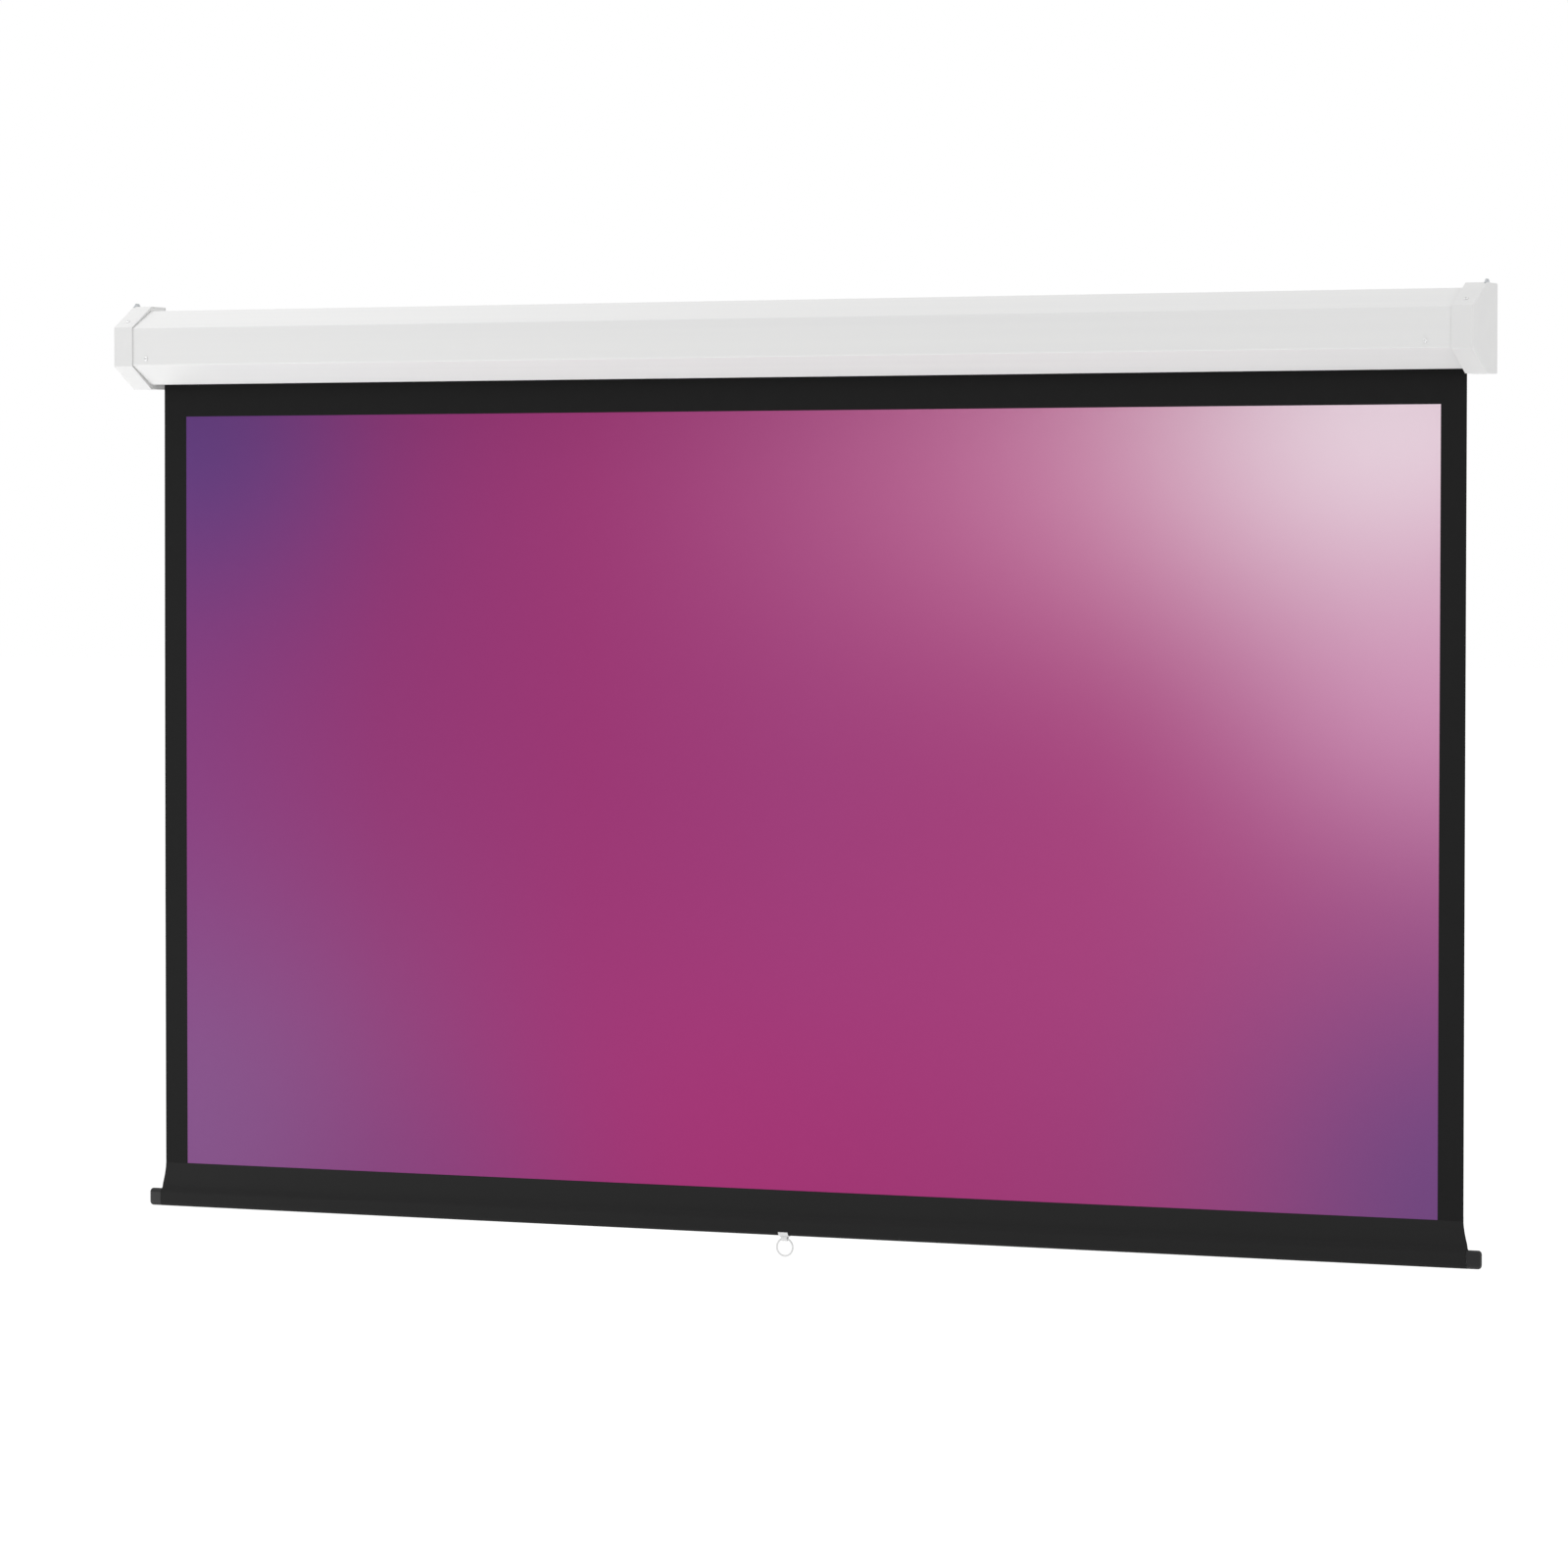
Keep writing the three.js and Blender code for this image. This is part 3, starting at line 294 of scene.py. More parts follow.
worked_metal("screw_steel", srgb(216, 217, 217), srgb(233, 233, 233), size=1.5, roughness=0.42, drawn=False)
worked_metal("hard_steel", srgb(98, 102, 106), srgb(132, 136, 140), size=1.2, roughness=0.34, drawn=True)
worked_metal("spring_steel", srgb(70, 74, 80), srgb(100, 104, 110), size=0.8, roughness=0.3, drawn=True)
worked_metal("tube_aluminium", srgb(176, 179, 182), srgb(204, 206, 208), size=1.6, roughness=0.4, drawn=True)
worked_metal("diecast", srgb(128, 131, 134), srgb(160, 163, 165), size=2.2, roughness=0.52, drawn=False)
print("metals:", list(finishes))

# %% [markdown]
# ## Plastics inside and at the bar
# The bushings are nylon, a milky off-white that takes up a little colour from handling. The bar's end plugs
# are black and slightly glossy, so a grey highlight runs down their round front. The ring is glossy white.

# %% Nylon, black plastic and ring plastic
def moulded(name, dark, light, roughness, size, specular=0.5):
    """A moulded plastic with a faint change of colour and a shallow surface grain."""
    finish = Finish(name, roughness=roughness, specular=specular)
    cloud = finish.grain(size=12)
    finish.feed("Base Color", finish.mix(cloud, dark, light))
    finish.feed("Roughness", roughness - 0.05 + 0.1 * cloud)
    finish.bump(finish.grain(size, detail=3), depth=0.03, strength=0.4)
    finishes[name] = finish


moulded("nylon", srgb(212, 207, 192), srgb(228, 224, 211), roughness=0.5, size=0.8)
moulded("black_plastic", srgb(10, 10, 11), srgb(18, 18, 19), roughness=0.42, size=0.6, specular=0.34)
moulded("ring_plastic", srgb(236, 236, 236), srgb(243, 243, 243), roughness=0.22, size=1.5)
print("plastics: nylon, black_plastic, ring_plastic")

# %% [markdown]
# ## Cloth
# Screen cloth is glass-fibre weave with a matt coating. The weave is under a millimetre, so from across a
# room it reads as a matt surface and shows only close up. Two crossed sine waves make its relief. Coated
# black cloth reflects hardly anything, also at a glancing angle, which is why its specular level is so low.

# %% Black border, backing and pocket
WEAVE_MM = 0.9


def weave(finish):
    """Relief of crossed threads: one set follows X, the other the fall of the cloth."""
    across, depth, up = finish.axes()
    turns = 2 * math.pi / (WEAVE_MM * MM)
    return 0.5 + 0.25 * (across * turns).sine() + 0.25 * ((up + depth) * turns).sine()


def coated_cloth(name, dark, light, specular):
    finish = Finish(name, roughness=0.75, specular=specular)
    cloud = finish.grain(size=35, detail=3)
    finish.feed("Base Color", finish.mix(cloud, dark, light))
    finish.feed("Roughness", 0.68 + 0.14 * cloud)
    finish.bump(weave(finish), depth=0.08, strength=0.35)
    return finish


border_cloth = coated_cloth("border_cloth", srgb(24, 24, 24), srgb(30, 30, 30), specular=0.12)
backing_cloth = coated_cloth("backing_cloth", srgb(30, 30, 31), srgb(38, 38, 39), specular=0.16)
finishes["black_cloth"] = coated_cloth("black_cloth", srgb(27, 27, 27), srgb(33, 33, 33), specular=0.18)
print("cloth finishes: border, backing, pocket")

# %% [markdown]
# ## The picture on the viewing surface
# The surface itself is matt white. In the photograph a soft blend of colours is on it, violet at the left and
# pale pink at the top right. Here it is a blend of our own: a ramp from side to side, and a few broad glows
# laid over it, each a bell curve with its own place, spread and colour. It has no motif and no hard edge.
# The white case above takes no tint from it in the photograph. A coloured surface would tint the case in the
# render, so a diffuse ray that comes from another piece meets a light grey in its place.

# %% Viewing surface
PICTURE_HALF_MM = 1321
PICTURE_TOP_MM = -136
PICTURE_HEIGHT_MM = 1486
BASE_RAMP = [
    (0.0, srgb(138, 62, 126)),
    (0.17, srgb(150, 56, 118)),
    (0.34, srgb(159, 56, 119)),
    (0.52, srgb(163, 64, 126)),
    (0.74, srgb(170, 67, 128)),
    (1.0, srgb(174, 80, 136)),
]
# Each glow: place across and down the picture (0 to 1), spread across and down, strength, colour
GLOWS = [
    (0.00, 0.02, 0.11, 0.18, 0.85, srgb(94, 65, 130)),
    (0.02, 0.97, 0.16, 0.24, 0.70, srgb(132, 94, 145)),
    (0.24, 1.04, 0.10, 0.12, 0.55, srgb(118, 76, 136)),
    (0.46, 1.00, 0.17, 0.20, 0.70, srgb(176, 54, 122)),
    (0.62, 0.08, 0.16, 0.18, 0.24, srgb(198, 102, 152)),
    (0.80, 0.04, 0.17, 0.18, 0.60, srgb(222, 144, 184)),
    (1.00, 0.34, 0.105, 0.21, 0.82, srgb(222, 158, 196)),
    (0.97, 0.00, 0.13, 0.17, 0.95, srgb(250, 228, 240)),
    (0.86, 0.66, 0.16, 0.14, 0.45, srgb(178, 70, 130)),
    (1.02, 1.00, 0.13, 0.26, 0.85, srgb(108, 76, 136)),
]
BOUNCE_GREY = (0.32, 0.32, 0.32, 1)

viewing = Finish("viewing_surface", roughness=0.85, specular=0.05)
across, _, up = viewing.axes()
share_across = across / (2 * PICTURE_HALF_MM * MM) + 0.5
share_down = (PICTURE_TOP_MM * MM - up) / (PICTURE_HEIGHT_MM * MM)
colour = viewing.node("ShaderNodeValToRGB", {"stops": BASE_RAMP}, {0: share_across})
for glow_across, glow_down, spread_across, spread_down, strength, glow_colour in GLOWS:
    off_across = (share_across - glow_across) / spread_across
    off_down = (share_down - glow_down) / spread_down
    fall = (-0.5 * (off_across * off_across + off_down * off_down)).exponent()
    colour = viewing.mix(strength * fall, colour, glow_colour)
viewing.feed("Base Color", viewing.mix(seen_by(viewing, "Diffuse"), colour, BOUNCE_GREY))
viewing.feed("Roughness", 0.76 + 0.08 * viewing.grain(size=40))
viewing.bump(weave(viewing), depth=0.05, strength=0.25)
print("viewing surface:", len(GLOWS), "glows")

# %% [markdown]
# ## Tools for making meshes
# Most pieces here are a section run along the screen, or outlines joined one after another. Both are built
# from lists of points in millimetres. `mesh_piece` turns every face outwards, `settle` fixes what the
# modifiers made, and `carve` cuts or joins solids exactly.

# %% Mesh tools
def mesh_piece(name, points, faces):
    mesh = bpy.data.meshes.new(name)
    mesh.from_pydata([Vector(point) * MM for point in points], [], faces)
    shape = bmesh.new()
    shape.from_mesh(mesh)
    bmesh.ops.recalc_face_normals(shape, faces=shape.faces)
    shape.to_mesh(mesh)
    shape.free()
    piece = bpy.data.objects.new(name, mesh)
    bpy.context.scene.collection.objects.link(piece)
    return piece


def settle(piece):
    """Puts what the modifiers make into the piece's own mesh."""
    bpy.context.view_layer.update()
    made = piece.evaluated_get(bpy.context.evaluated_depsgraph_get())
    mesh = bpy.data.meshes.new_from_object(made)
    piece.modifiers.clear()
    piece.data = mesh
    return piece


def carve(piece, operation, *tools):
    for tool in tools:
        change = piece.modifiers.new(operation.lower(), "BOOLEAN")
        change.operation = operation
        change.solver = "EXACT"
        change.object = tool
    settle(piece)
    for tool in tools:
        bpy.data.objects.remove(tool)
    return piece


def smooth(piece, angle=35, bevel=0.0):
    """Round faces shade smoothly, edges sharper than the angle stay crisp or get a small bevel."""
    piece.data.shade_smooth()
    piece.data.set_sharp_from_angle(angle=math.radians(angle))
    if bevel:
        round_edges = piece.modifiers.new("bevel", "BEVEL")
        round_edges.width = bevel * MM
        round_edges.segments = 3
        round_edges.limit_method = "ANGLE"
        round_edges.angle_limit = math.radians(angle)
    weighted = piece.modifiers.new("weighted", "WEIGHTED_NORMAL")
    weighted.keep_sharp = True
    return settle(piece)


def dress(piece, finish, body, slot, *nodes):
    """Gives a finished piece its material and body, and lets it stand for its CAD nodes."""
    piece.data.materials.clear()
    piece.data.materials.append(finish.material)
    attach(piece, body)
    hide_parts(*nodes)
    print(piece.name, "stands for", ", ".join(nodes), "with", len(piece.data.polygons), "faces")
    return piece


# %% [markdown]
# ## Sections and outlines
# A folded sheet is drawn as its outer line of points (y, z). Moving that line inwards by the thickness
# gives the inner one. Corners are rounded with true arcs, and since both lines get the same number of
# points, they pair up.

# %% Lines, corners and lofts
def moved_in(corners, distance, closed=True):
    """The corners with every side moved to its left by a distance."""
    count = len(corners)
    sides = []
    for i in range(count if closed else count - 1):
        start, end = Vector(corners[i]), Vector(corners[(i + 1) % count])
        run = (end - start).normalized()
        inward = Vector((-run.y, run.x)) * distance
        sides.append((start + inward, end + inward, run))
    moved = [] if closed else [sides[0][0]]
    for i in range(0 if closed else 1, len(sides)):
        before, after = sides[i - 1], sides[i]
        gap = after[0] - before[0]
        along = gap.cross(after[2]) / before[2].cross(after[2])
        moved.append(before[0] + before[2] * along)
    return moved if closed else [*moved, sides[-1][1]]


def rounded(corners, radius, steps, closed=True):
    """The corners replaced by arcs of a radius, each with the same number of steps."""
    corners = [Vector(corner) for corner in corners]
    count = len(corners)
    line = []
    for i, corner in enumerate(corners):
        if not closed and i in (0, count - 1):
            line.append(corner)
            continue
        before = (corners[i - 1] - corner).normalized()
        after = (corners[(i + 1) % count] - corner).normalized()
        half = before.angle(after) / 2
        reach = radius / math.tan(half)
        centre = corner + (before + after).normalized() * (radius / math.sin(half))
        start, end = corner + before * reach - centre, corner + after * reach - centre
        line += [centre + start.slerp(end, step / steps).normalized() * radius for step in range(steps + 1)]
    return line


def folded_sheet(name, outer, inner, reach):
    """A sheet seen end on as two lines of points, run along X to reach(z) on both sides."""
    section = [*outer, *reversed(inner)]
    total = len(section)
    points = [(side * reach(z), y, z) for side in (-1, 1) for y, z in section]
    faces = [(i, (i + 1) % total, total + (i + 1) % total, total + i) for i in range(total)]
    for i in range(len(outer) - 1):
        quad = (i, i + 1, total - 2 - i, total - 1 - i)
        faces += [quad, tuple(total + corner for corner in quad)]
    return mesh_piece(name, points, faces)


def loft(name, stations, closed=False):
    """Outlines of equal counts joined in a row, closed by a face at each end or by joining round."""
    count, last = len(stations[0]), len(stations)
    points = [point for station in stations for point in station]
    faces = []
    for s in range(last if closed else last - 1):
        here, there = s * count, ((s + 1) % last) * count
        for i in range(count):
            j = (i + 1) % count
            faces.append((here + i, here + j, there + j, there + i))
    if not closed:
        faces += [tuple(range(count)), tuple(range((last - 1) * count, last * count))]
    return mesh_piece(name, points, faces)


def block(name, low, high):
    """A box between two corners, used as a tool for cutting or joining."""
    square = [(low[1], low[2]), (high[1], low[2]), (high[1], high[2]), (low[1], high[2])]
    return loft(name, [[(x, y, z) for y, z in square] for x in (low[0], high[0])])


print("mesh tools ready")

# %% [markdown]
# ## Turned pieces
# Pins, screws, tubes and bores are turned about a line. A profile of heights and radii is spun in steps,
# and the result is aimed: its own Z axis is laid along the direction that the real piece points.

# %% Turned pieces
def aimed(piece, base, direction):
    """Lays a piece made about Z along a direction, with its zero height at the base point."""
    turn_it = Vector(direction).to_track_quat("Z", "Y").to_matrix().to_4x4()
    piece.data.transform(Matrix.Translation(Vector(base) * MM) @ turn_it)
    return piece


def turned(name, profile, sides, closed=False, shape=None):
    """Spins a profile of (height, radius) about Z. shape(height, radius, angle) may change the radius."""
    rows = []
    for height, radius in profile:
        row = []
        for i in range(sides):
            angle = 2 * math.pi * i / sides
            size = shape(height, radius, angle) if shape else radius
            row.append((size * math.cos(angle), size * math.sin(angle), height))
        rows.append(row)
    return loft(name, rows, closed)


BORE_SIDES = 48


def bore(name, base, direction, radius, ahead, behind):
    """A round bar that reaches ahead of its base and behind it, used as a tool for cutting or joining."""
    return aimed(turned(name, [(-behind, radius), (ahead, radius)], BORE_SIDES), base, direction)


print("turning tools ready")

# %% [markdown]
# ## The case
# The case is one sheet of steel, rolled into a six-sided section that is open underneath at the back, where
# the cloth comes out. Both edges of that slot are turned up as stiffening lips. Drawing the outer line and
# moving it in by the sheet's thickness gives a true bent sheet, with larger arcs outside than inside each
# bend.

# %% The rolled case
CASE_DEPTH, CASE_FLAT, CASE_HALF, CASE_FRONT_HALF = 127, 56, 72.75, 36.5
CASE_WALL, BEND_RADIUS, BEND_STEPS = 1.5, 3, 8
SLOT_BACK, SLOT_FRONT, LIP_TOP = -7, -36, -66.75
CASE_END = 1388
CASE_SCREWS = {"left": -1350, "right": 1329}
CASE_SCREW_Z, SCREW_GAP = -24, 0.3
SHANK_RADIUS = 2

case_line = [
    (SLOT_BACK, LIP_TOP),
    (SLOT_BACK, -CASE_HALF),
    (0, -CASE_HALF),
    (0, CASE_HALF),
    (-CASE_FLAT, CASE_HALF),
    (-CASE_DEPTH, CASE_FRONT_HALF),
    (-CASE_DEPTH, -CASE_FRONT_HALF),
    (-CASE_FLAT, -CASE_HALF),
    (SLOT_FRONT, -CASE_HALF),
    (SLOT_FRONT, LIP_TOP),
]
case_outer = rounded(case_line, BEND_RADIUS, BEND_STEPS, closed=False)
case_inside = moved_in(case_line, CASE_WALL, closed=False)
case_inner = rounded(case_inside, BEND_RADIUS - CASE_WALL, BEND_STEPS, closed=False)
case_sheet = folded_sheet("case_sheet", case_outer, case_inner, lambda z: CASE_END)
towards_room = Vector((0, -1, 0))
holes = [
    bore("case_hole_" + end, (x, -CASE_DEPTH, CASE_SCREW_Z), towards_room, SHANK_RADIUS + SCREW_GAP,
         ahead=2 * CASE_WALL, behind=2 * CASE_WALL)
    for end, x in CASE_SCREWS.items()
]
carve(case_sheet, "DIFFERENCE", *holes)
smooth(case_sheet)
dress(case_sheet, enamel, "case", "case_enamel", "case_shell")

# %% [markdown]
# ## The end caps
# Each cap is a moulded cup that slips over the end of the case and stands 9 mm taller. It is lofted from
# inset copies of one outline: over the rounded outer edge, along the skirt, round the lip and back inside.
# A collar closes the skirt onto the case a little way in, so that the seam reads as a soft groove and not
# as a deep gap. Ribs, the cut for the case's back, the slot for the bracket's ear and the screw hole
# follow.

# %% The moulded caps
CAP_DEPTH, CAP_HALF, CAP_FRONT_HALF = 129.8, 82, 38.75
CAP_WALL, CAP_CORNER, CAP_EDGE, CAP_LIP = 2.5, 3, 2.0, 0.5
SEAM, CAP_END = 1380, 1422
RIB_THICKNESS, RIB_DEPTHS, RIB_INSET = 2, (18, 72, 88), 3
COLLAR_INSET, BACK_STRIP = 1.5, 0.75
PLATE_OUTER, PLATE_INNER = 1419.2, 1417.2
EAR_DEPTH, EAR_ROOT_HALF, EAR_ROOT_Z = 47, 13, 63.65
CAP_SCREW_X, CAP_SCREW_SHARE, CAP_SCREW_HOLE = 1401, 0.27, 9
CORNER_STEPS, LIP_STEPS, INNER_FILLET, OVERCUT = 5, 3, 1.0, 4
SIDES = {"left": -1, "right": 1}

cap_line = [
    (0, -CAP_HALF),
    (0, CAP_HALF),
    (-CASE_FLAT, CAP_HALF),
    (-CAP_DEPTH, CAP_FRONT_HALF),
    (-CAP_DEPTH, -CAP_FRONT_HALF),
    (-CASE_FLAT, -CAP_HALF),
]
case_corners = case_line[2:8]  # the six corners, without the slot and its lips
round_case = moved_in(case_corners, -SCREW_GAP)
slope_foot, slope_top = Vector(cap_line[3]), Vector(cap_line[2])
slope_run = (slope_top - slope_foot).normalized()
slope_out = Vector((0, -slope_run.y, slope_run.x))
slope_spot = slope_foot.lerp(slope_top, CAP_SCREW_SHARE)


def quarter(radius, steps=CORNER_STEPS):
    """Pairs (along, in) round a quarter circle that starts on the side and ends on the face."""
    turns = [math.pi / 2 * step / steps for step in range(steps + 1)]
    return [(radius * (1 - math.sin(turn_by)), radius * (1 - math.cos(turn_by))) for turn_by in turns]


def upper_line(line, depth):
    """How high the top of a six-sided outline is at a depth."""
    top, foot = Vector(line[2]), Vector(line[3])
    if -depth >= top.x:
        return top.y
    return top.y + (foot.y - top.y) * (-depth - top.x) / (foot.x - top.x)


def cap_outline(x, shift, side):
    corner = max(CAP_CORNER - shift, CAP_LIP)
    outline = rounded(moved_in(cap_line, shift), corner, CORNER_STEPS)
    return [(side * x, y, z) for y, z in outline]


def cap_rib(side, depth, above):
    """One rib between the cap's wall and the case, seen end on as four points."""
    wall_middle = moved_in(cap_line, CAP_WALL / 2)
    near, far = depth - RIB_THICKNESS / 2, depth + RIB_THICKNESS / 2
    section = [
        (-near, upper_line(round_case, near)),
        (-near, upper_line(wall_middle, near)),
        (-far, upper_line(wall_middle, far)),
        (-far, upper_line(round_case, far)),
    ]
    reach = (SEAM + RIB_INSET, CAP_END - CAP_WALL / 2)
    return loft("rib", [[(side * x, y, above * z) for y, z in section] for x in reach])


def cap_collar(side):
    """The ring that closes the skirt onto the case. The cut for the case's back opens it behind."""
    near, far = SEAM + COLLAR_INSET, SEAM + COLLAR_INSET + RIB_THICKNESS
    back = -CAP_WALL / 2 - BACK_STRIP
    hole = [(back, round_case[0].y), (back, round_case[1].y), *round_case[2:]]
    hole_line = rounded(hole, BEND_RADIUS + SCREW_GAP, CORNER_STEPS)
    wall_line = rounded(moved_in(cap_line, CAP_WALL / 2), CAP_CORNER - CAP_WALL / 2, CORNER_STEPS)
    stations = [(near, wall_line), (far, wall_line), (far, hole_line), (near, hole_line)]
    return loft("collar", [[(side * x, y, z) for y, z in line] for x, line in stations], closed=True)


def end_cap(end, side):
    over_edge = [(CAP_END - along, shift) for along, shift in reversed(quarter(CAP_EDGE))]
    lip_out = [(SEAM + along, shift) for along, shift in quarter(CAP_LIP, LIP_STEPS)]
    lip_in = [(SEAM + along, CAP_WALL - shift) for along, shift in reversed(quarter(CAP_LIP, LIP_STEPS))]
    fillet = quarter(INNER_FILLET, LIP_STEPS)
    inside = [(CAP_END - CAP_WALL - along, CAP_WALL + shift) for along, shift in fillet]
    rows = [*over_edge, *lip_out, *lip_in, *inside]
    cap = loft("cap_" + end, [cap_outline(x, shift, side) for x, shift in rows])
    ribs = [cap_rib(side, depth, above) for depth in RIB_DEPTHS for above in (1, -1)]
    carve(cap, "UNION", cap_collar(side), *ribs)
    relief = sorted((side * (SEAM - OVERCUT), side * (CASE_END + SCREW_GAP)))
    slot = sorted((side * (PLATE_INNER - SCREW_GAP), side * (PLATE_OUTER + SCREW_GAP)))
    screw_spot = (side * CAP_SCREW_X, slope_spot.x, slope_spot.y)
    carve(
        cap, "DIFFERENCE",
        block("relief", (relief[0], -CAP_WALL - SCREW_GAP, -CASE_HALF - SCREW_GAP),
              (relief[1], OVERCUT, CASE_HALF + SCREW_GAP)),
        block("ear_slot", (slot[0], -EAR_DEPTH - EAR_ROOT_HALF - SCREW_GAP, EAR_ROOT_Z),
              (slot[1], -EAR_DEPTH + EAR_ROOT_HALF + SCREW_GAP, CAP_HALF + OVERCUT)),
        bore("screw_hole", screw_spot, slope_out, SHANK_RADIUS + SCREW_GAP,
             ahead=OVERCUT, behind=CAP_SCREW_HOLE),
    )
    smooth(cap, angle=30)
    dress(cap, cap_plastic, "case", "cap_plastic", "end_cap_" + end)


for end, side in SIDES.items():
    end_cap(end, side)

# %% [markdown]
# ## Screws
# The case and cap screws are self-tapping, with a pan head and a cross recess. The thread is a wave that
# climbs one pitch in each turn round the shank. The recess is cut by two crossed blades. Six screws share
# this one maker, in two sizes.

# %% Screws with threads and cross recesses
SCREW_SIDES, ROWS_PER_PITCH, DOME_STEPS, NECK = 32, 8, 8, 0.2
# Shares of the shank's radius, of the head's radius, and of the head's height
THREAD_DEPTH, POINT_LENGTH, POINT_TIP = 0.16, 1.6, 0.25
UNDERSIDE, RECESS_LONG, RECESS_WIDE = 0.97, 0.56, 0.12
RIM_HEIGHT, DOME_FOOT, RECESS_FLOOR = 0.06, 0.3, 0.35


def screw(name, base, direction, head_radius, head_height, shank_radius, length, pitch):
    rows = int(length / pitch * ROWS_PER_PITCH)
    thread_depth, point_length = shank_radius * THREAD_DEPTH, shank_radius * POINT_LENGTH

    def threaded(height, radius, angle):
        if height >= 0:
            return radius
        climb = 2 * math.pi * height / pitch - angle
        return radius - thread_depth * (0.5 + 0.5 * math.cos(climb)) * min(1, radius / shank_radius)

    shank = []
    for row in range(rows):
        height = -length + (length - NECK) * row / (rows - 1)
        taper = min(1, POINT_TIP + (1 - POINT_TIP) * (height + length) / point_length)
        shank.append((height, shank_radius * taper))
    dome = []
    for step in range(DOME_STEPS):
        bend = math.pi / 2 * step / DOME_STEPS
        rise = DOME_FOOT + (1 - DOME_FOOT) * math.sin(bend)
        dome.append((head_height * rise, head_radius * math.cos(bend)))
    rim = (head_height * RIM_HEIGHT, head_radius)
    profile = [*shank, (0, shank_radius), (0, head_radius * UNDERSIDE), rim, *dome]
    made = turned(name, profile, SCREW_SIDES, shape=threaded)
    half_long, half_wide = head_radius * RECESS_LONG, head_radius * RECESS_WIDE
    blades = [
        block("blade", (-a, -b, head_height * RECESS_FLOOR), (a, b, head_height * 2))
        for a, b in ((half_long, half_wide), (half_wide, half_long))
    ]
    carve(made, "DIFFERENCE", *blades)
    aimed(made, base, direction)
    return smooth(made, angle=40)


TAPPING_SCREW = dict(head_radius=4, head_height=1.8, shank_radius=SHANK_RADIUS, length=9, pitch=1.4)
for end, x in CASE_SCREWS.items():
    base = (x, -CASE_DEPTH - SCREW_GAP, CASE_SCREW_Z)
    made = screw("case_fixing_" + end, base, towards_room, **TAPPING_SCREW)
    dress(made, finishes["screw_steel"], "case", "screw_steel", "case_screw_" + end)
for end, side in SIDES.items():
    base = Vector((side * CAP_SCREW_X, slope_spot.x, slope_spot.y)) + slope_out * SCREW_GAP
    made = screw("cap_fixing_" + end, base, slope_out, **TAPPING_SCREW)
    dress(made, finishes["screw_steel"], "case", "screw_steel", "cap_screw_" + end)

# %% [markdown]
# ## The viewing cloth
# The cloth hangs from the roller, drawn flat by the bar, and keeps a ripple of about a millimetre. The
# ripple stands only towards the room, so that the cloth stays clear of the pocket's lap behind it. Its
# border follows real edges in the mesh, so the line between picture and black stays crisp. Front, border
# and backing are three materials on one thin sheet.

# %% The viewing cloth
CLOTH_HALF, CLOTH_FRONT_Y, CLOTH_BACK_Y, CLOTH_FOOT = 1371, -20.7, -20.2, -1621.7
PICTURE_COLUMNS, PICTURE_ROWS, BORDER_COLUMNS, TOP_ROWS = 72, 40, 2, 4
# Each wave of the ripple: its height, and the run across and down in which it turns by one radian
RIPPLE_WAVES = [(0.35, 210, 900), (0.175, 92, -640)]
FRONT_NORMAL_Y = -0.9


def spaced(start, end, steps):
    return [start + (end - start) * step / steps for step in range(steps)]


def ripple(x, z):
    """A very shallow hang towards the room: nothing at the roller and the bar, most in the middle."""
    middle = math.sin(math.pi * min(max((z - PICTURE_TOP_MM) / (CLOTH_FOOT - PICTURE_TOP_MM), 0), 1))
    return middle * sum(size * (math.sin(x / run_x + z / run_z) - 1) for size, run_x, run_z in RIPPLE_WAVES)


columns = [
    *spaced(-CLOTH_HALF, -PICTURE_HALF_MM, BORDER_COLUMNS),
    *spaced(-PICTURE_HALF_MM, PICTURE_HALF_MM, PICTURE_COLUMNS),
    *spaced(PICTURE_HALF_MM, CLOTH_HALF, BORDER_COLUMNS),
    CLOTH_HALF,
]
rows = [*spaced(0, PICTURE_TOP_MM, TOP_ROWS), *spaced(PICTURE_TOP_MM, CLOTH_FOOT, PICTURE_ROWS), CLOTH_FOOT]
wide, tall = len(columns), len(rows)
points = [(x, y + ripple(x, z), z) for y in (CLOTH_FRONT_Y, CLOTH_BACK_Y) for z in rows for x in columns]
front = [(j * wide + i, j * wide + i + 1, (j + 1) * wide + i + 1, (j + 1) * wide + i)
         for j in range(tall - 1) for i in range(wide - 1)]
back_start = wide * tall
back = [tuple(corner + back_start for corner in face) for face in front]
rim = [*range(wide), *[j * wide + wide - 1 for j in range(1, tall)],
       *[(tall - 1) * wide + i for i in range(wide - 2, -1, -1)], *[j * wide for j in range(tall - 2, 0, -1)]]
edges = [(a, b, b + back_start, a + back_start) for a, b in zip(rim, [*rim[1:], rim[0]])]
viewing_cloth = mesh_piece("viewing_cloth", points, [*front, *back, *edges])
viewing_cloth.data.shade_smooth()
viewing_cloth.data.set_sharp_from_angle(angle=math.radians(40))
dress(viewing_cloth, viewing, "case", "screen_cloth", "screen_cloth")
viewing_cloth.data.materials.append(border_cloth.material)
viewing_cloth.data.materials.append(backing_cloth.material)
for face in viewing_cloth.data.polygons:
    in_picture = abs(face.center.x) < PICTURE_HALF_MM * MM and face.center.z < PICTURE_TOP_MM * MM
    facing_room = face.normal.y < FRONT_NORMAL_Y
    face.material_index = (0 if in_picture else 1) if facing_room else 2

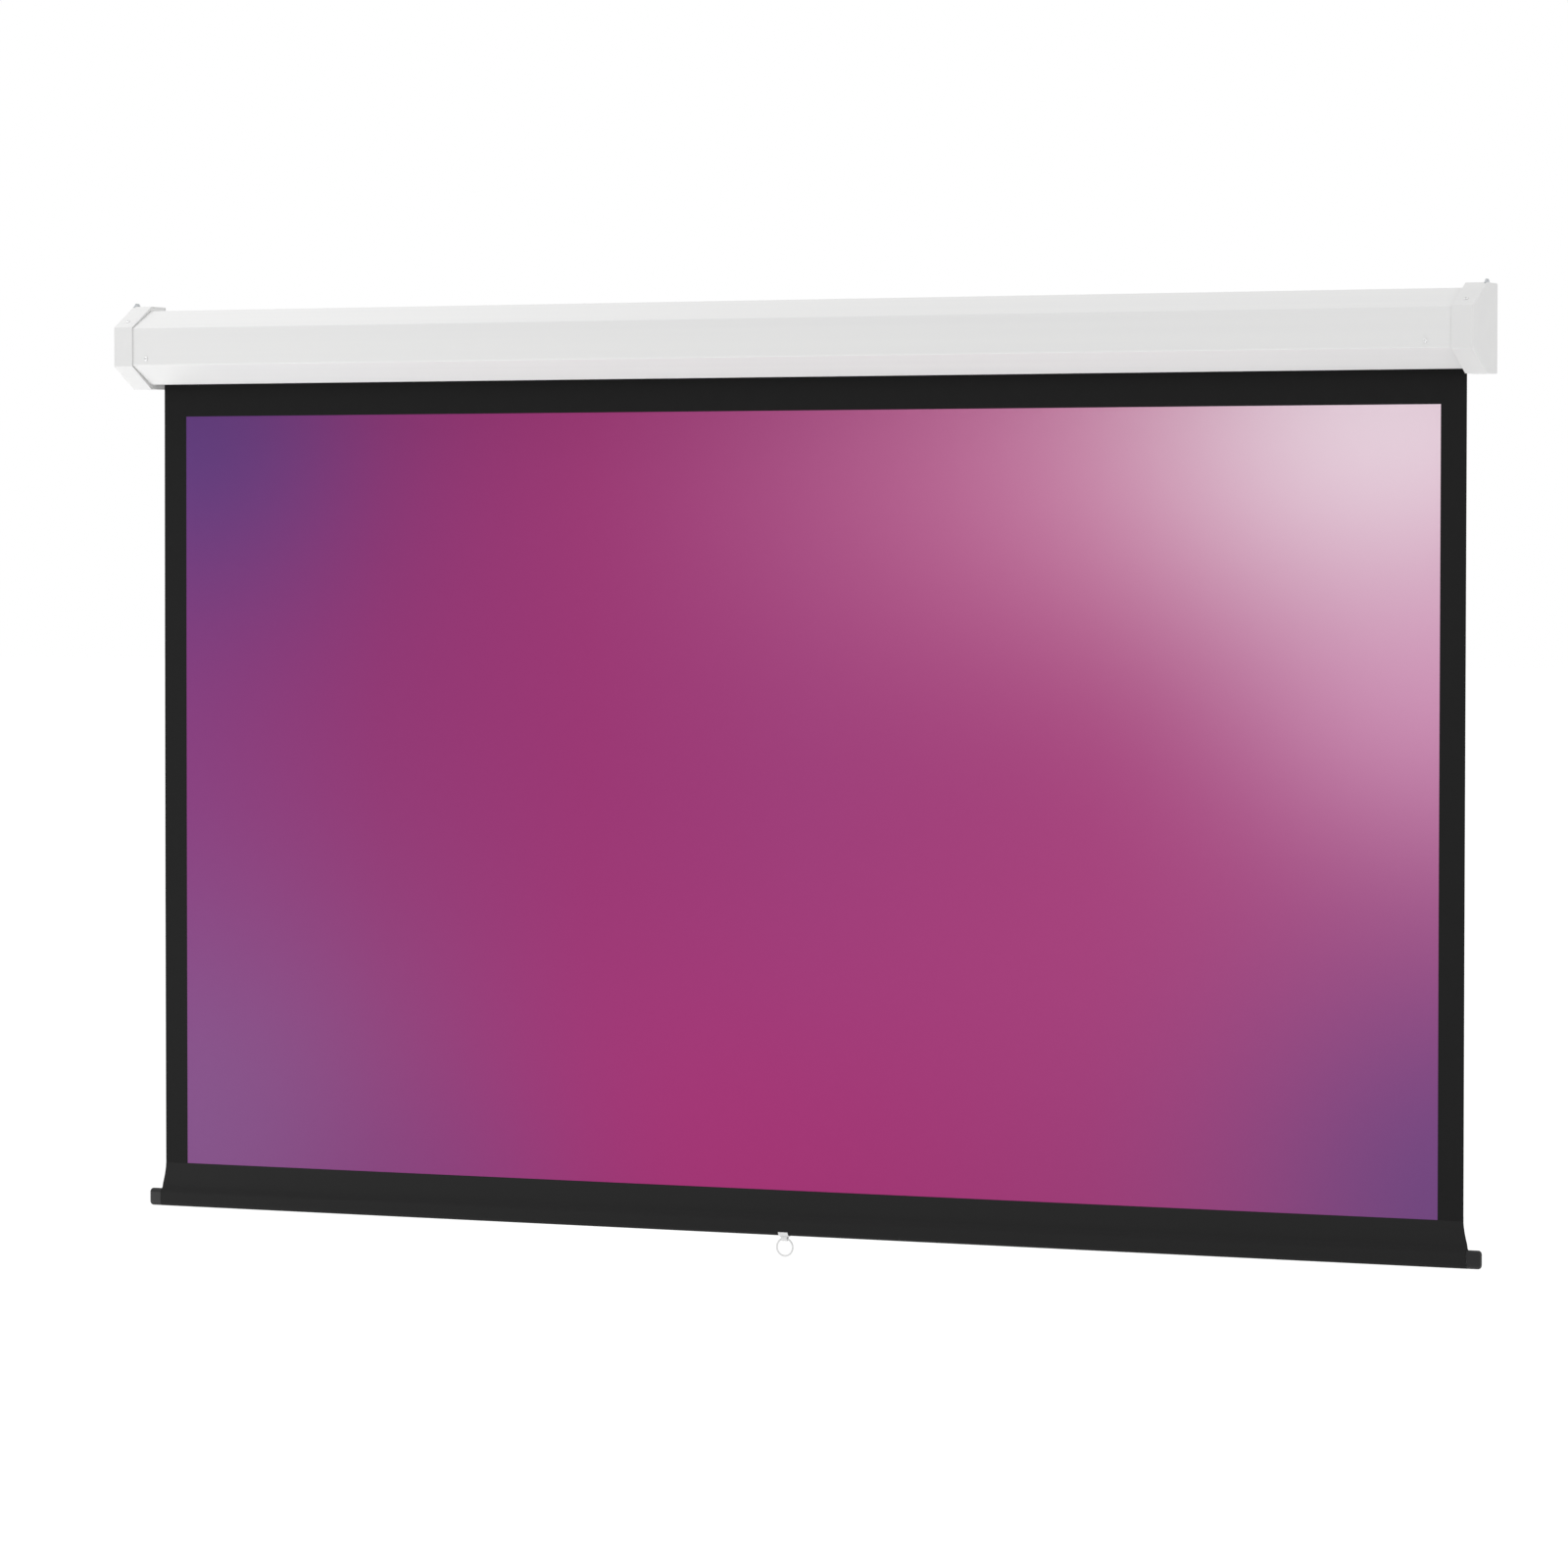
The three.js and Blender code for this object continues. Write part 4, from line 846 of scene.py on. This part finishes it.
slide = next(joint for joint in frame["joints"] if joint["name"] == "screen_slide")
travel = slide["range_m"][1]
cloth_drop = -CLOTH_FOOT * MM
1 - travel / cloth_drop
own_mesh(viewing_cloth)
print("cloth", 2 * CLOTH_HALF, "by", -CLOTH_FOOT, "mm, shortens by", round(travel, 4), "m")

# %% [markdown]
# ## The roll of cloth
# A little over two turns stay on the roller when the screen is down. They are one band that winds inwards
# from where the cloth leaves the roller at the back. From the end, the roll shows its spiral, which a plain
# tube would not.

# %% The roll
ROLLER_DEPTH = 56
ROLL_OUTER, ROLL_STEP, ROLL_TURNS, CLOTH_THICK = 35, 0.55, 2.15, 0.5
LINES_PER_TURN = 96

roll_outer, roll_inner = [], []
for step in range(int(LINES_PER_TURN * ROLL_TURNS) + 1):
    angle = 2 * math.pi * step / LINES_PER_TURN
    radius = ROLL_OUTER - ROLL_STEP * step / LINES_PER_TURN
    for line, size in ((roll_outer, radius), (roll_inner, radius - CLOTH_THICK)):
        line.append((size * math.cos(angle) - ROLLER_DEPTH, size * math.sin(angle)))
cloth_roll = folded_sheet("cloth_roll", roll_outer, roll_inner, lambda z: CLOTH_HALF)
smooth(cloth_roll)
dress(cloth_roll, backing_cloth, "roller", "black_cloth", "cloth_wraps")

# %% [markdown]
# ## The bottom pocket
# The black foot of the cloth is folded round the bar and welded to its own back. It is drawn as one sheet:
# down the front, out over the bar in a soft curve, round it, and up the back, where it laps the viewing
# cloth. Its side edges run out by 8 mm towards the bar, in the curve that the photograph shows.

# %% The pocket
HEM_TOP, BAR_TOP, BAR_FOOT, BAR_DEPTH = -1622, -1674, -1708.5, 16
BAR_MID_Y, POCKET_FLARE, FLARE_POWER, POCKET_THICK = -20.45, 8, 1.6, 0.4
BULGE_RISE, SHEET_GAP, LAP_GAP, LAP_START, LAP = 6, 0.01, 0.3, 1, 8
HEM_STEPS, BULGE_STEPS, FOLD_STEPS = 8, 10, 24
POCKET_HALF = CLOTH_HALF + POCKET_FLARE
BAR_RADIUS = BAR_DEPTH / 2


def pocket_reach(z):
    """Half the pocket's width at a height: as wide as the cloth at the top, wider at the bar."""
    share = min(max((HEM_TOP - z) / (HEM_TOP - BAR_TOP - BAR_RADIUS), 0), 1)
    return CLOTH_HALF + POCKET_FLARE * share ** FLARE_POWER


def pocket_side():
    """Distance from the middle line and height, from the hem's top down to the straight side."""
    flat = POCKET_THICK + SHEET_GAP
    line = [(flat, z) for z in spaced(HEM_TOP, BAR_TOP + BULGE_RISE, HEM_STEPS)]
    for step in range(BULGE_STEPS + 1):
        share = step / BULGE_STEPS
        swing = share * share * (3 - 2 * share)
        height = BAR_TOP + BULGE_RISE - share * (BULGE_RISE + BAR_RADIUS)
        line.append((flat + (BAR_RADIUS - flat) * swing, height))
    return line


down = pocket_side()
arc_centre = BAR_FOOT + BAR_RADIUS
half_turn = [math.pi * step / FOLD_STEPS for step in range(FOLD_STEPS + 1)]
around = [(-BAR_RADIUS * math.cos(t), arc_centre - BAR_RADIUS * math.sin(t)) for t in half_turn]
fold = [*[(-off, z) for off, z in down], *around, *[(off, z) for off, z in reversed(down)]]
fold += [(POCKET_THICK + LAP_GAP, HEM_TOP + rise) for rise in (LAP_START, LAP)]
fold = [Vector((BAR_MID_Y + off, z)) for off, z in fold]
pocket_inner = []
for i, spot in enumerate(fold):
    run = (fold[min(i + 1, len(fold) - 1)] - fold[max(i - 1, 0)]).normalized()
    pocket_inner.append(spot + Vector((-run.y, run.x)) * POCKET_THICK)
bar_pocket = folded_sheet("bar_pocket", fold, pocket_inner, pocket_reach)
smooth(bar_pocket, angle=50)
dress(bar_pocket, finishes["black_cloth"], "bar", "black_cloth", "bottom_pocket")
pocket_length = sum((b - a).length for a, b in zip(fold, fold[1:]))
print("pocket sheet:", round(pocket_length), "mm before folding")

# %% [markdown]
# ## The bar's end plugs
# A plug closes each end of the bar and stands 27 mm past the pocket. One loft makes it all: the hollow
# spigot that grips inside the tube, the shoulder, the body and the rounded nose. Every outline is the bar's
# own section, drawn in by a stated amount.

# %% The end plugs
BAR_HEIGHT, PLUG_FACE, BAR_END, SPIGOT_LENGTH = 34.5, 1379.3, 1406, 18
SPIGOT_SHIFT, HOLLOW_SHIFT, TIP_CHAMFER, FACE_CHAMFER = 2.9, 4.9, 0.5, 0.4
NOSE_RADIUS, NOSE_STEPS = 6.5, 8
BAR_MID_Z = (BAR_TOP + BAR_FOOT) / 2


def bar_outline(shift, steps=16):
    """The bar's section: straight sides with half-round ends, drawn in by a shift."""
    radius = BAR_DEPTH / 2 - shift
    centre = BAR_HEIGHT / 2 - BAR_DEPTH / 2
    line = []
    for up_or_down, start in ((1, 0), (-1, math.pi)):
        for step in range(steps + 1):
            angle = start + math.pi * step / steps
            line.append((BAR_MID_Y + radius * math.cos(angle),
                         BAR_MID_Z + up_or_down * centre + radius * math.sin(angle)))
    return line


tip = POCKET_HALF - SPIGOT_LENGTH
plug_rows = [
    (PLUG_FACE, HOLLOW_SHIFT),
    (tip, HOLLOW_SHIFT),
    (tip, SPIGOT_SHIFT + TIP_CHAMFER),
    (tip + TIP_CHAMFER, SPIGOT_SHIFT),
    (PLUG_FACE, SPIGOT_SHIFT),
    (PLUG_FACE, FACE_CHAMFER),
    (PLUG_FACE + FACE_CHAMFER, 0),
    *[(BAR_END - along, shift) for along, shift in quarter(NOSE_RADIUS, NOSE_STEPS)],
]
for end, side in SIDES.items():
    outlines = [[(side * x, y, z) for y, z in bar_outline(shift)] for x, shift in plug_rows]
    plug = loft("bar_plug_" + end, outlines)
    smooth(plug, angle=40)
    dress(plug, finishes["black_plastic"], "bar", "black_plastic", "bar_end_cap_" + end)

# %% [markdown]
# ## The ring clip and the pull ring
# A moulded saddle hugs the underside of the bar, held by two small screws. Its lug has an eye, and the
# ring's wire turns in that eye. The saddle is a bent strip, the lug a short turned block joined to it, and
# the edges are softened with a bevel, as on any moulding that a hand may touch.

# %% Clip and ring
SADDLE_INNER, SADDLE_THICK, SADDLE_HALF, SADDLE_OPEN = 8.3, 1.5, 10, 0.12
EYE_Z, EYE_RADIUS, LUG_WALL, LUG_HALF = -1714.1, 3.3, 1.8, 6
CLIP_SCREW_X, CLIP_SCREW_BASE, CLIP_SHANK = 8, -1710.6, 1
CLIP_SCREW = dict(head_radius=1.6, head_height=1, shank_radius=CLIP_SHANK, length=5, pitch=0.8)
SADDLE_STEPS, EYE_CUT = 32, 9
RING_RADIUS, RING_WIRE_RADIUS, RING_STEPS, RING_SIDES = 16.6, 1.9, 96, 20

sweep = [SADDLE_OPEN + (math.pi - 2 * SADDLE_OPEN) * step / SADDLE_STEPS for step in range(SADDLE_STEPS + 1)]
lines = []
for size in (SADDLE_INNER + SADDLE_THICK, SADDLE_INNER):
    lines.append([(BAR_MID_Y - size * math.cos(t), arc_centre - size * math.sin(t)) for t in sweep])
ring_saddle = folded_sheet("ring_saddle", *lines, lambda z: SADDLE_HALF)
sideways, downwards = Vector((1, 0, 0)), Vector((0, 0, -1))
eye_spot = (0, BAR_MID_Y, EYE_Z)
carve(ring_saddle, "UNION", bore("lug", eye_spot, sideways, EYE_RADIUS + LUG_WALL, LUG_HALF, LUG_HALF))
holes = [
    bore("clip_hole", (x, BAR_MID_Y, CLIP_SCREW_BASE), downwards, CLIP_SHANK + SCREW_GAP, ahead=3, behind=7)
    for x in (-CLIP_SCREW_X, CLIP_SCREW_X)
]
carve(ring_saddle, "DIFFERENCE", bore("eye", eye_spot, sideways, EYE_RADIUS, EYE_CUT, EYE_CUT), *holes)
smooth(ring_saddle, angle=35, bevel=0.3)
dress(ring_saddle, finishes["ring_plastic"], "bar", "ring_plastic", "ring_clip")

for end, side in SIDES.items():
    base = (side * CLIP_SCREW_X, BAR_MID_Y, CLIP_SCREW_BASE)
    made = screw("clip_fixing_" + end, base, downwards, **CLIP_SCREW)
    dress(made, finishes["screw_steel"], "bar", "screw_steel", "clip_screw_" + end)


def round_wire(centre, out, aside, radius, sides):
    """One outline of a round wire: a circle about its centre, in the plane of two directions."""
    turns = [2 * math.pi * i / sides for i in range(sides)]
    return [centre + (out * math.cos(t) + aside * math.sin(t)) * radius for t in turns]


into_wall = Vector((0, 1, 0))
rings = []
for step in range(RING_STEPS):
    angle = 2 * math.pi * step / RING_STEPS
    out = Vector((math.sin(angle), 0, math.cos(angle)))
    centre = Vector((0, BAR_MID_Y, EYE_Z - RING_RADIUS)) + out * RING_RADIUS
    rings.append(round_wire(centre, out, into_wall, RING_WIRE_RADIUS, RING_SIDES))
hand_ring = loft("hand_ring", rings, closed=True)
smooth(hand_ring)
dress(hand_ring, finishes["ring_plastic"], "ring", "ring_plastic", "pull_ring")

# %% [markdown]
# ## The spring and the tube
# Inside the left end of the roller a long coil of round wire pulls the cloth back up. It is swept along a
# helix, with two short straight tails. The roller tube is turned with many sides, so that it stays round up
# close.

# %% Spring and roller tube
SPRING_TURNS, SPRING_PITCH, SPRING_RADIUS, WIRE_RADIUS = 40, 9, 14, 1.4
TURN_STEPS, SPRING_SIDES = 28, 10
spring_low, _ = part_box("mainspring")
spring_start = spring_low.x / MM
spring_rows = []
for step in range(-1, SPRING_TURNS * TURN_STEPS + 2):
    on_coil = min(max(step, 0), SPRING_TURNS * TURN_STEPS)
    angle = -2 * math.pi * on_coil / TURN_STEPS
    x = spring_start + 2 * WIRE_RADIUS + SPRING_PITCH * on_coil / TURN_STEPS
    if step != on_coil:
        x += 2 * WIRE_RADIUS * (1 if step > 0 else -1)
    out = Vector((0, math.cos(angle), math.sin(angle)))
    lean = Vector((SPRING_PITCH, 2 * math.pi * SPRING_RADIUS * math.sin(angle),
                   -2 * math.pi * SPRING_RADIUS * math.cos(angle))).normalized()
    run = sideways if step != on_coil else lean
    centre = Vector((x, -ROLLER_DEPTH, 0)) + out * SPRING_RADIUS
    spring_rows.append(round_wire(centre, out, run.cross(out).normalized(), WIRE_RADIUS, SPRING_SIDES))
spring_coil = loft("spring_coil", spring_rows)
smooth(spring_coil, angle=60)
dress(spring_coil, finishes["spring_steel"], "case", "spring_steel", "mainspring")

TUBE_HALF, TUBE_RADIUS, TUBE_BORE, TUBE_SIDES = 1374, 33, 31.5, 96
tube_profile = [
    (-TUBE_HALF, TUBE_BORE),
    (-TUBE_HALF, TUBE_RADIUS),
    (TUBE_HALF, TUBE_RADIUS),
    (TUBE_HALF, TUBE_BORE),
]
drawn_tube = turned("drawn_tube", tube_profile, TUBE_SIDES, closed=True)
aimed(drawn_tube, (0, -ROLLER_DEPTH, 0), sideways)
smooth(drawn_tube)
dress(drawn_tube, finishes["tube_aluminium"], "roller", "tube_aluminium", "roller_tube")

# %% [markdown]
# ## Pieces that keep their CAD shape
# The bracket plates, the ratchet and its pawls, the spindle, plugs, pins and bushings already have their
# real shape. Their meshes are left as they are. A small node group welds and shades them smoothly below 30
# degrees, and a bevel takes the razor edge off the rest, so that edges catch light as real ones do.

# %% Soft shading for the CAD pieces
WELD_M, CRISP_ANGLE, KEPT_EDGE_MM = 1e-5, math.radians(30), 0.2

soft = bpy.data.node_groups.new("soft_shading", "GeometryNodeTree")
soft.interface.new_socket("Geometry", in_out="INPUT", socket_type="NodeSocketGeometry")
soft.interface.new_socket("Geometry", in_out="OUTPUT", socket_type="NodeSocketGeometry")
soft_bench = Bench(soft)
incoming = soft_bench.node("NodeGroupInput")
welded = soft_bench.node("GeometryNodeMergeByDistance", None, {0: incoming, "Distance": WELD_M})
plain = soft_bench.node("GeometryNodeRemoveAttribute", None, {0: welded, "Name": "custom_normal"})
rounder = soft_bench.node("GeometryNodeSetShadeSmooth", {"domain": "FACE"}, {0: plain, "Shade Smooth": True})
edge_angle = soft_bench.node("GeometryNodeInputMeshEdgeAngle")
crisp = soft_bench.node(
    "GeometryNodeSetShadeSmooth",
    {"domain": "EDGE"},
    {0: rounder, "Selection": edge_angle > CRISP_ANGLE, "Shade Smooth": False},
)
soft_bench.node("NodeGroupOutput", None, {0: crisp})


def refinish(name, finish):
    node = frame["nodes"][name]
    shading = node.modifiers.new("soft_shading", "NODES")
    shading.node_group = soft
    edges_off = node.modifiers.new("edges", "BEVEL")
    edges_off.width = KEPT_EDGE_MM * MM
    edges_off.segments = 2
    edges_off.limit_method = "ANGLE"
    edges_off.angle_limit = CRISP_ANGLE
    edges_off.harden_normals = True
    for index in range(len(node.material_slots)):
        node.material_slots[index].material = finish.material


kept_as_made = {
    "zinc_steel": ["bracket_plate_left", "bracket_plate_right"],
    "hard_steel": ["spindle", "ratchet_wheel", "ratchet_key", "collar_pin", "idle_gudgeon", "gudgeon_pin",
                   "pawl_pin_a", "pawl_pin_b", "pawl_a", "pawl_b"],
    "spring_steel": ["spindle_clip"],
    "diecast": ["spring_collar", "pawl_carrier", "spring_anchor", "idle_plug"],
    "nylon": ["spindle_bushing", "idle_bushing"],
    "tube_aluminium": ["bar_tube"],
}
for slot_name, names in kept_as_made.items():
    for name in names:
        refinish(name, finishes[slot_name])
print("CAD pieces kept:", sum(len(names) for names in kept_as_made.values()))

# %% [markdown]
# ## What is cloth
# Three pieces are one length of cloth in the real screen: the part on the roller, the part that hangs, and
# the foot that is folded round the bar.

print("cloth pieces: viewing_cloth, cloth_roll, bar_pocket")

# %% [markdown]
# ## Studio
# A pale floor lies well below the screen. The world gives even, soft light, and camera, glossy and
# transmission rays see plain white in it, so the background is white without more light on the object. The
# floor is see-through from below, so it never hides the screen. A large lamp high at the left makes the
# left end a little brighter than the right, as in the photograph. Three weaker ones fill the right top, the
# low left and the right side. A long strip below, narrowed to a beam, lifts the slope under the case and
# meets the cloth only at a glancing angle.

# %% Floor, world and lamps
FLOOR_Z, FLOOR_HALF = -2.55, 120
WORLD_LEVEL = 0.72
FLOOR_GLOW = 0.42
STRIP_LENGTH, STRIP_WIDTH, STRIP_HALF_ANGLE = 3.6, 0.3, math.radians(25)
# Each lamp: place, aim, size and level
LAMPS = {
    "key": ((-2.4, -1.2, 2.8), (-1.2, -0.1, 0), 2.2, 0.32),
    "right_top": ((2.6, -1.2, 2.6), (1.3, -0.1, 0), 1.8, 0.05),
    "low_left": ((-2.8, -1.4, -2.1), (-1.3, -0.1, -0.05), 1.2, 0.16),
    "right_side": ((4.0, -2.0, 0.4), (1.4, -0.1, 0), 1.6, 0.13),
    "strip": ((-0.2, -0.45, -2.3), (-0.2, -0.09, -0.05), 1, 1.0),
}

corners = [(x * FLOOR_HALF, y * FLOOR_HALF, FLOOR_Z) for x, y in ((-1, -1), (1, -1), (1, 1), (-1, 1))]
floor_mesh = bpy.data.meshes.new("floor")
floor_mesh.from_pydata(corners, [], [(0, 1, 2, 3)])
floor = bpy.data.objects.new("floor", floor_mesh)
bpy.context.scene.collection.objects.link(floor)
floor_paint = Finish("floor_paint", roughness=0.9, specular=0.0)
cloud = floor_paint.grain(size=900)
floor_paint.feed("Base Color", floor_paint.mix(cloud, srgb(242, 242, 242), srgb(246, 246, 246)))
floor_bench = Bench(floor_paint.tree)
glow_level = FLOOR_GLOW * seen_by(floor_bench, "Camera", "Glossy")
glow = floor_bench.node("ShaderNodeEmission", None, {"Color": (1, 1, 1, 1), "Strength": glow_level})
painted = Wire(floor_bench, floor_paint.shader.outputs[0])
lit_floor = floor_bench.node("ShaderNodeAddShader", None, {0: painted, 1: glow})
through = floor_bench.node("ShaderNodeBsdfTransparent")
underside = floor_bench.node("ShaderNodeNewGeometry", output="Backfacing")
shown = floor_bench.node("ShaderNodeMixShader", None, {0: underside, 1: lit_floor, 2: through})
floor_bench.plug(floor_paint.tree.nodes["Material Output"].inputs["Surface"], shown)
floor.data.materials.append(floor_paint.material)

world = bpy.data.worlds.new("studio")
world.use_nodes = True
bpy.context.scene.world = world
sky = Bench(world.node_tree)
plain_white = seen_by(sky, "Camera", "Glossy", "Transmission") > 0.5
backdrop = world.node_tree.nodes["Background"]
sky.plug(backdrop.inputs["Color"], (1, 1, 1, 1))
sky.plug(backdrop.inputs["Strength"], WORLD_LEVEL + (1 - WORLD_LEVEL) * plain_white)


def soft_lamp(name, place, aim, size, level):
    """An area lamp that adds the given level to a white surface facing it at the aim point."""
    place, aim = Vector(place), Vector(aim)
    away = aim - place
    light = bpy.data.lights.new(name, "AREA")
    light.size = size
    light.energy = level * (math.pi * away.length) ** 2
    lamp = bpy.data.objects.new(name, light)
    lamp.matrix_world = Matrix.Translation(place) @ away.to_track_quat("-Z", "Y").to_matrix().to_4x4()
    lamp.visible_camera = False
    bpy.context.scene.collection.objects.link(lamp)
    return lamp


def narrow(lamp, length, width, half_angle):
    """Makes a lamp a strip whose light leaves within an angle, without more light along its axis."""
    lamp.data.shape = "RECTANGLE"
    lamp.data.size, lamp.data.size_y = length, width
    lamp.data.spread = 2 * half_angle
    lamp.data.energy *= (math.tan(half_angle) - half_angle) / math.tan(half_angle)


lamps = {name: soft_lamp(name, *settings) for name, settings in LAMPS.items()}
narrow(lamps["strip"], STRIP_LENGTH, STRIP_WIDTH, STRIP_HALF_ANGLE)
view = bpy.context.scene.view_settings
view.view_transform = "Standard"
print("floor at", FLOOR_Z, "m; world level", WORLD_LEVEL, "and lamps", sorted(lamps))
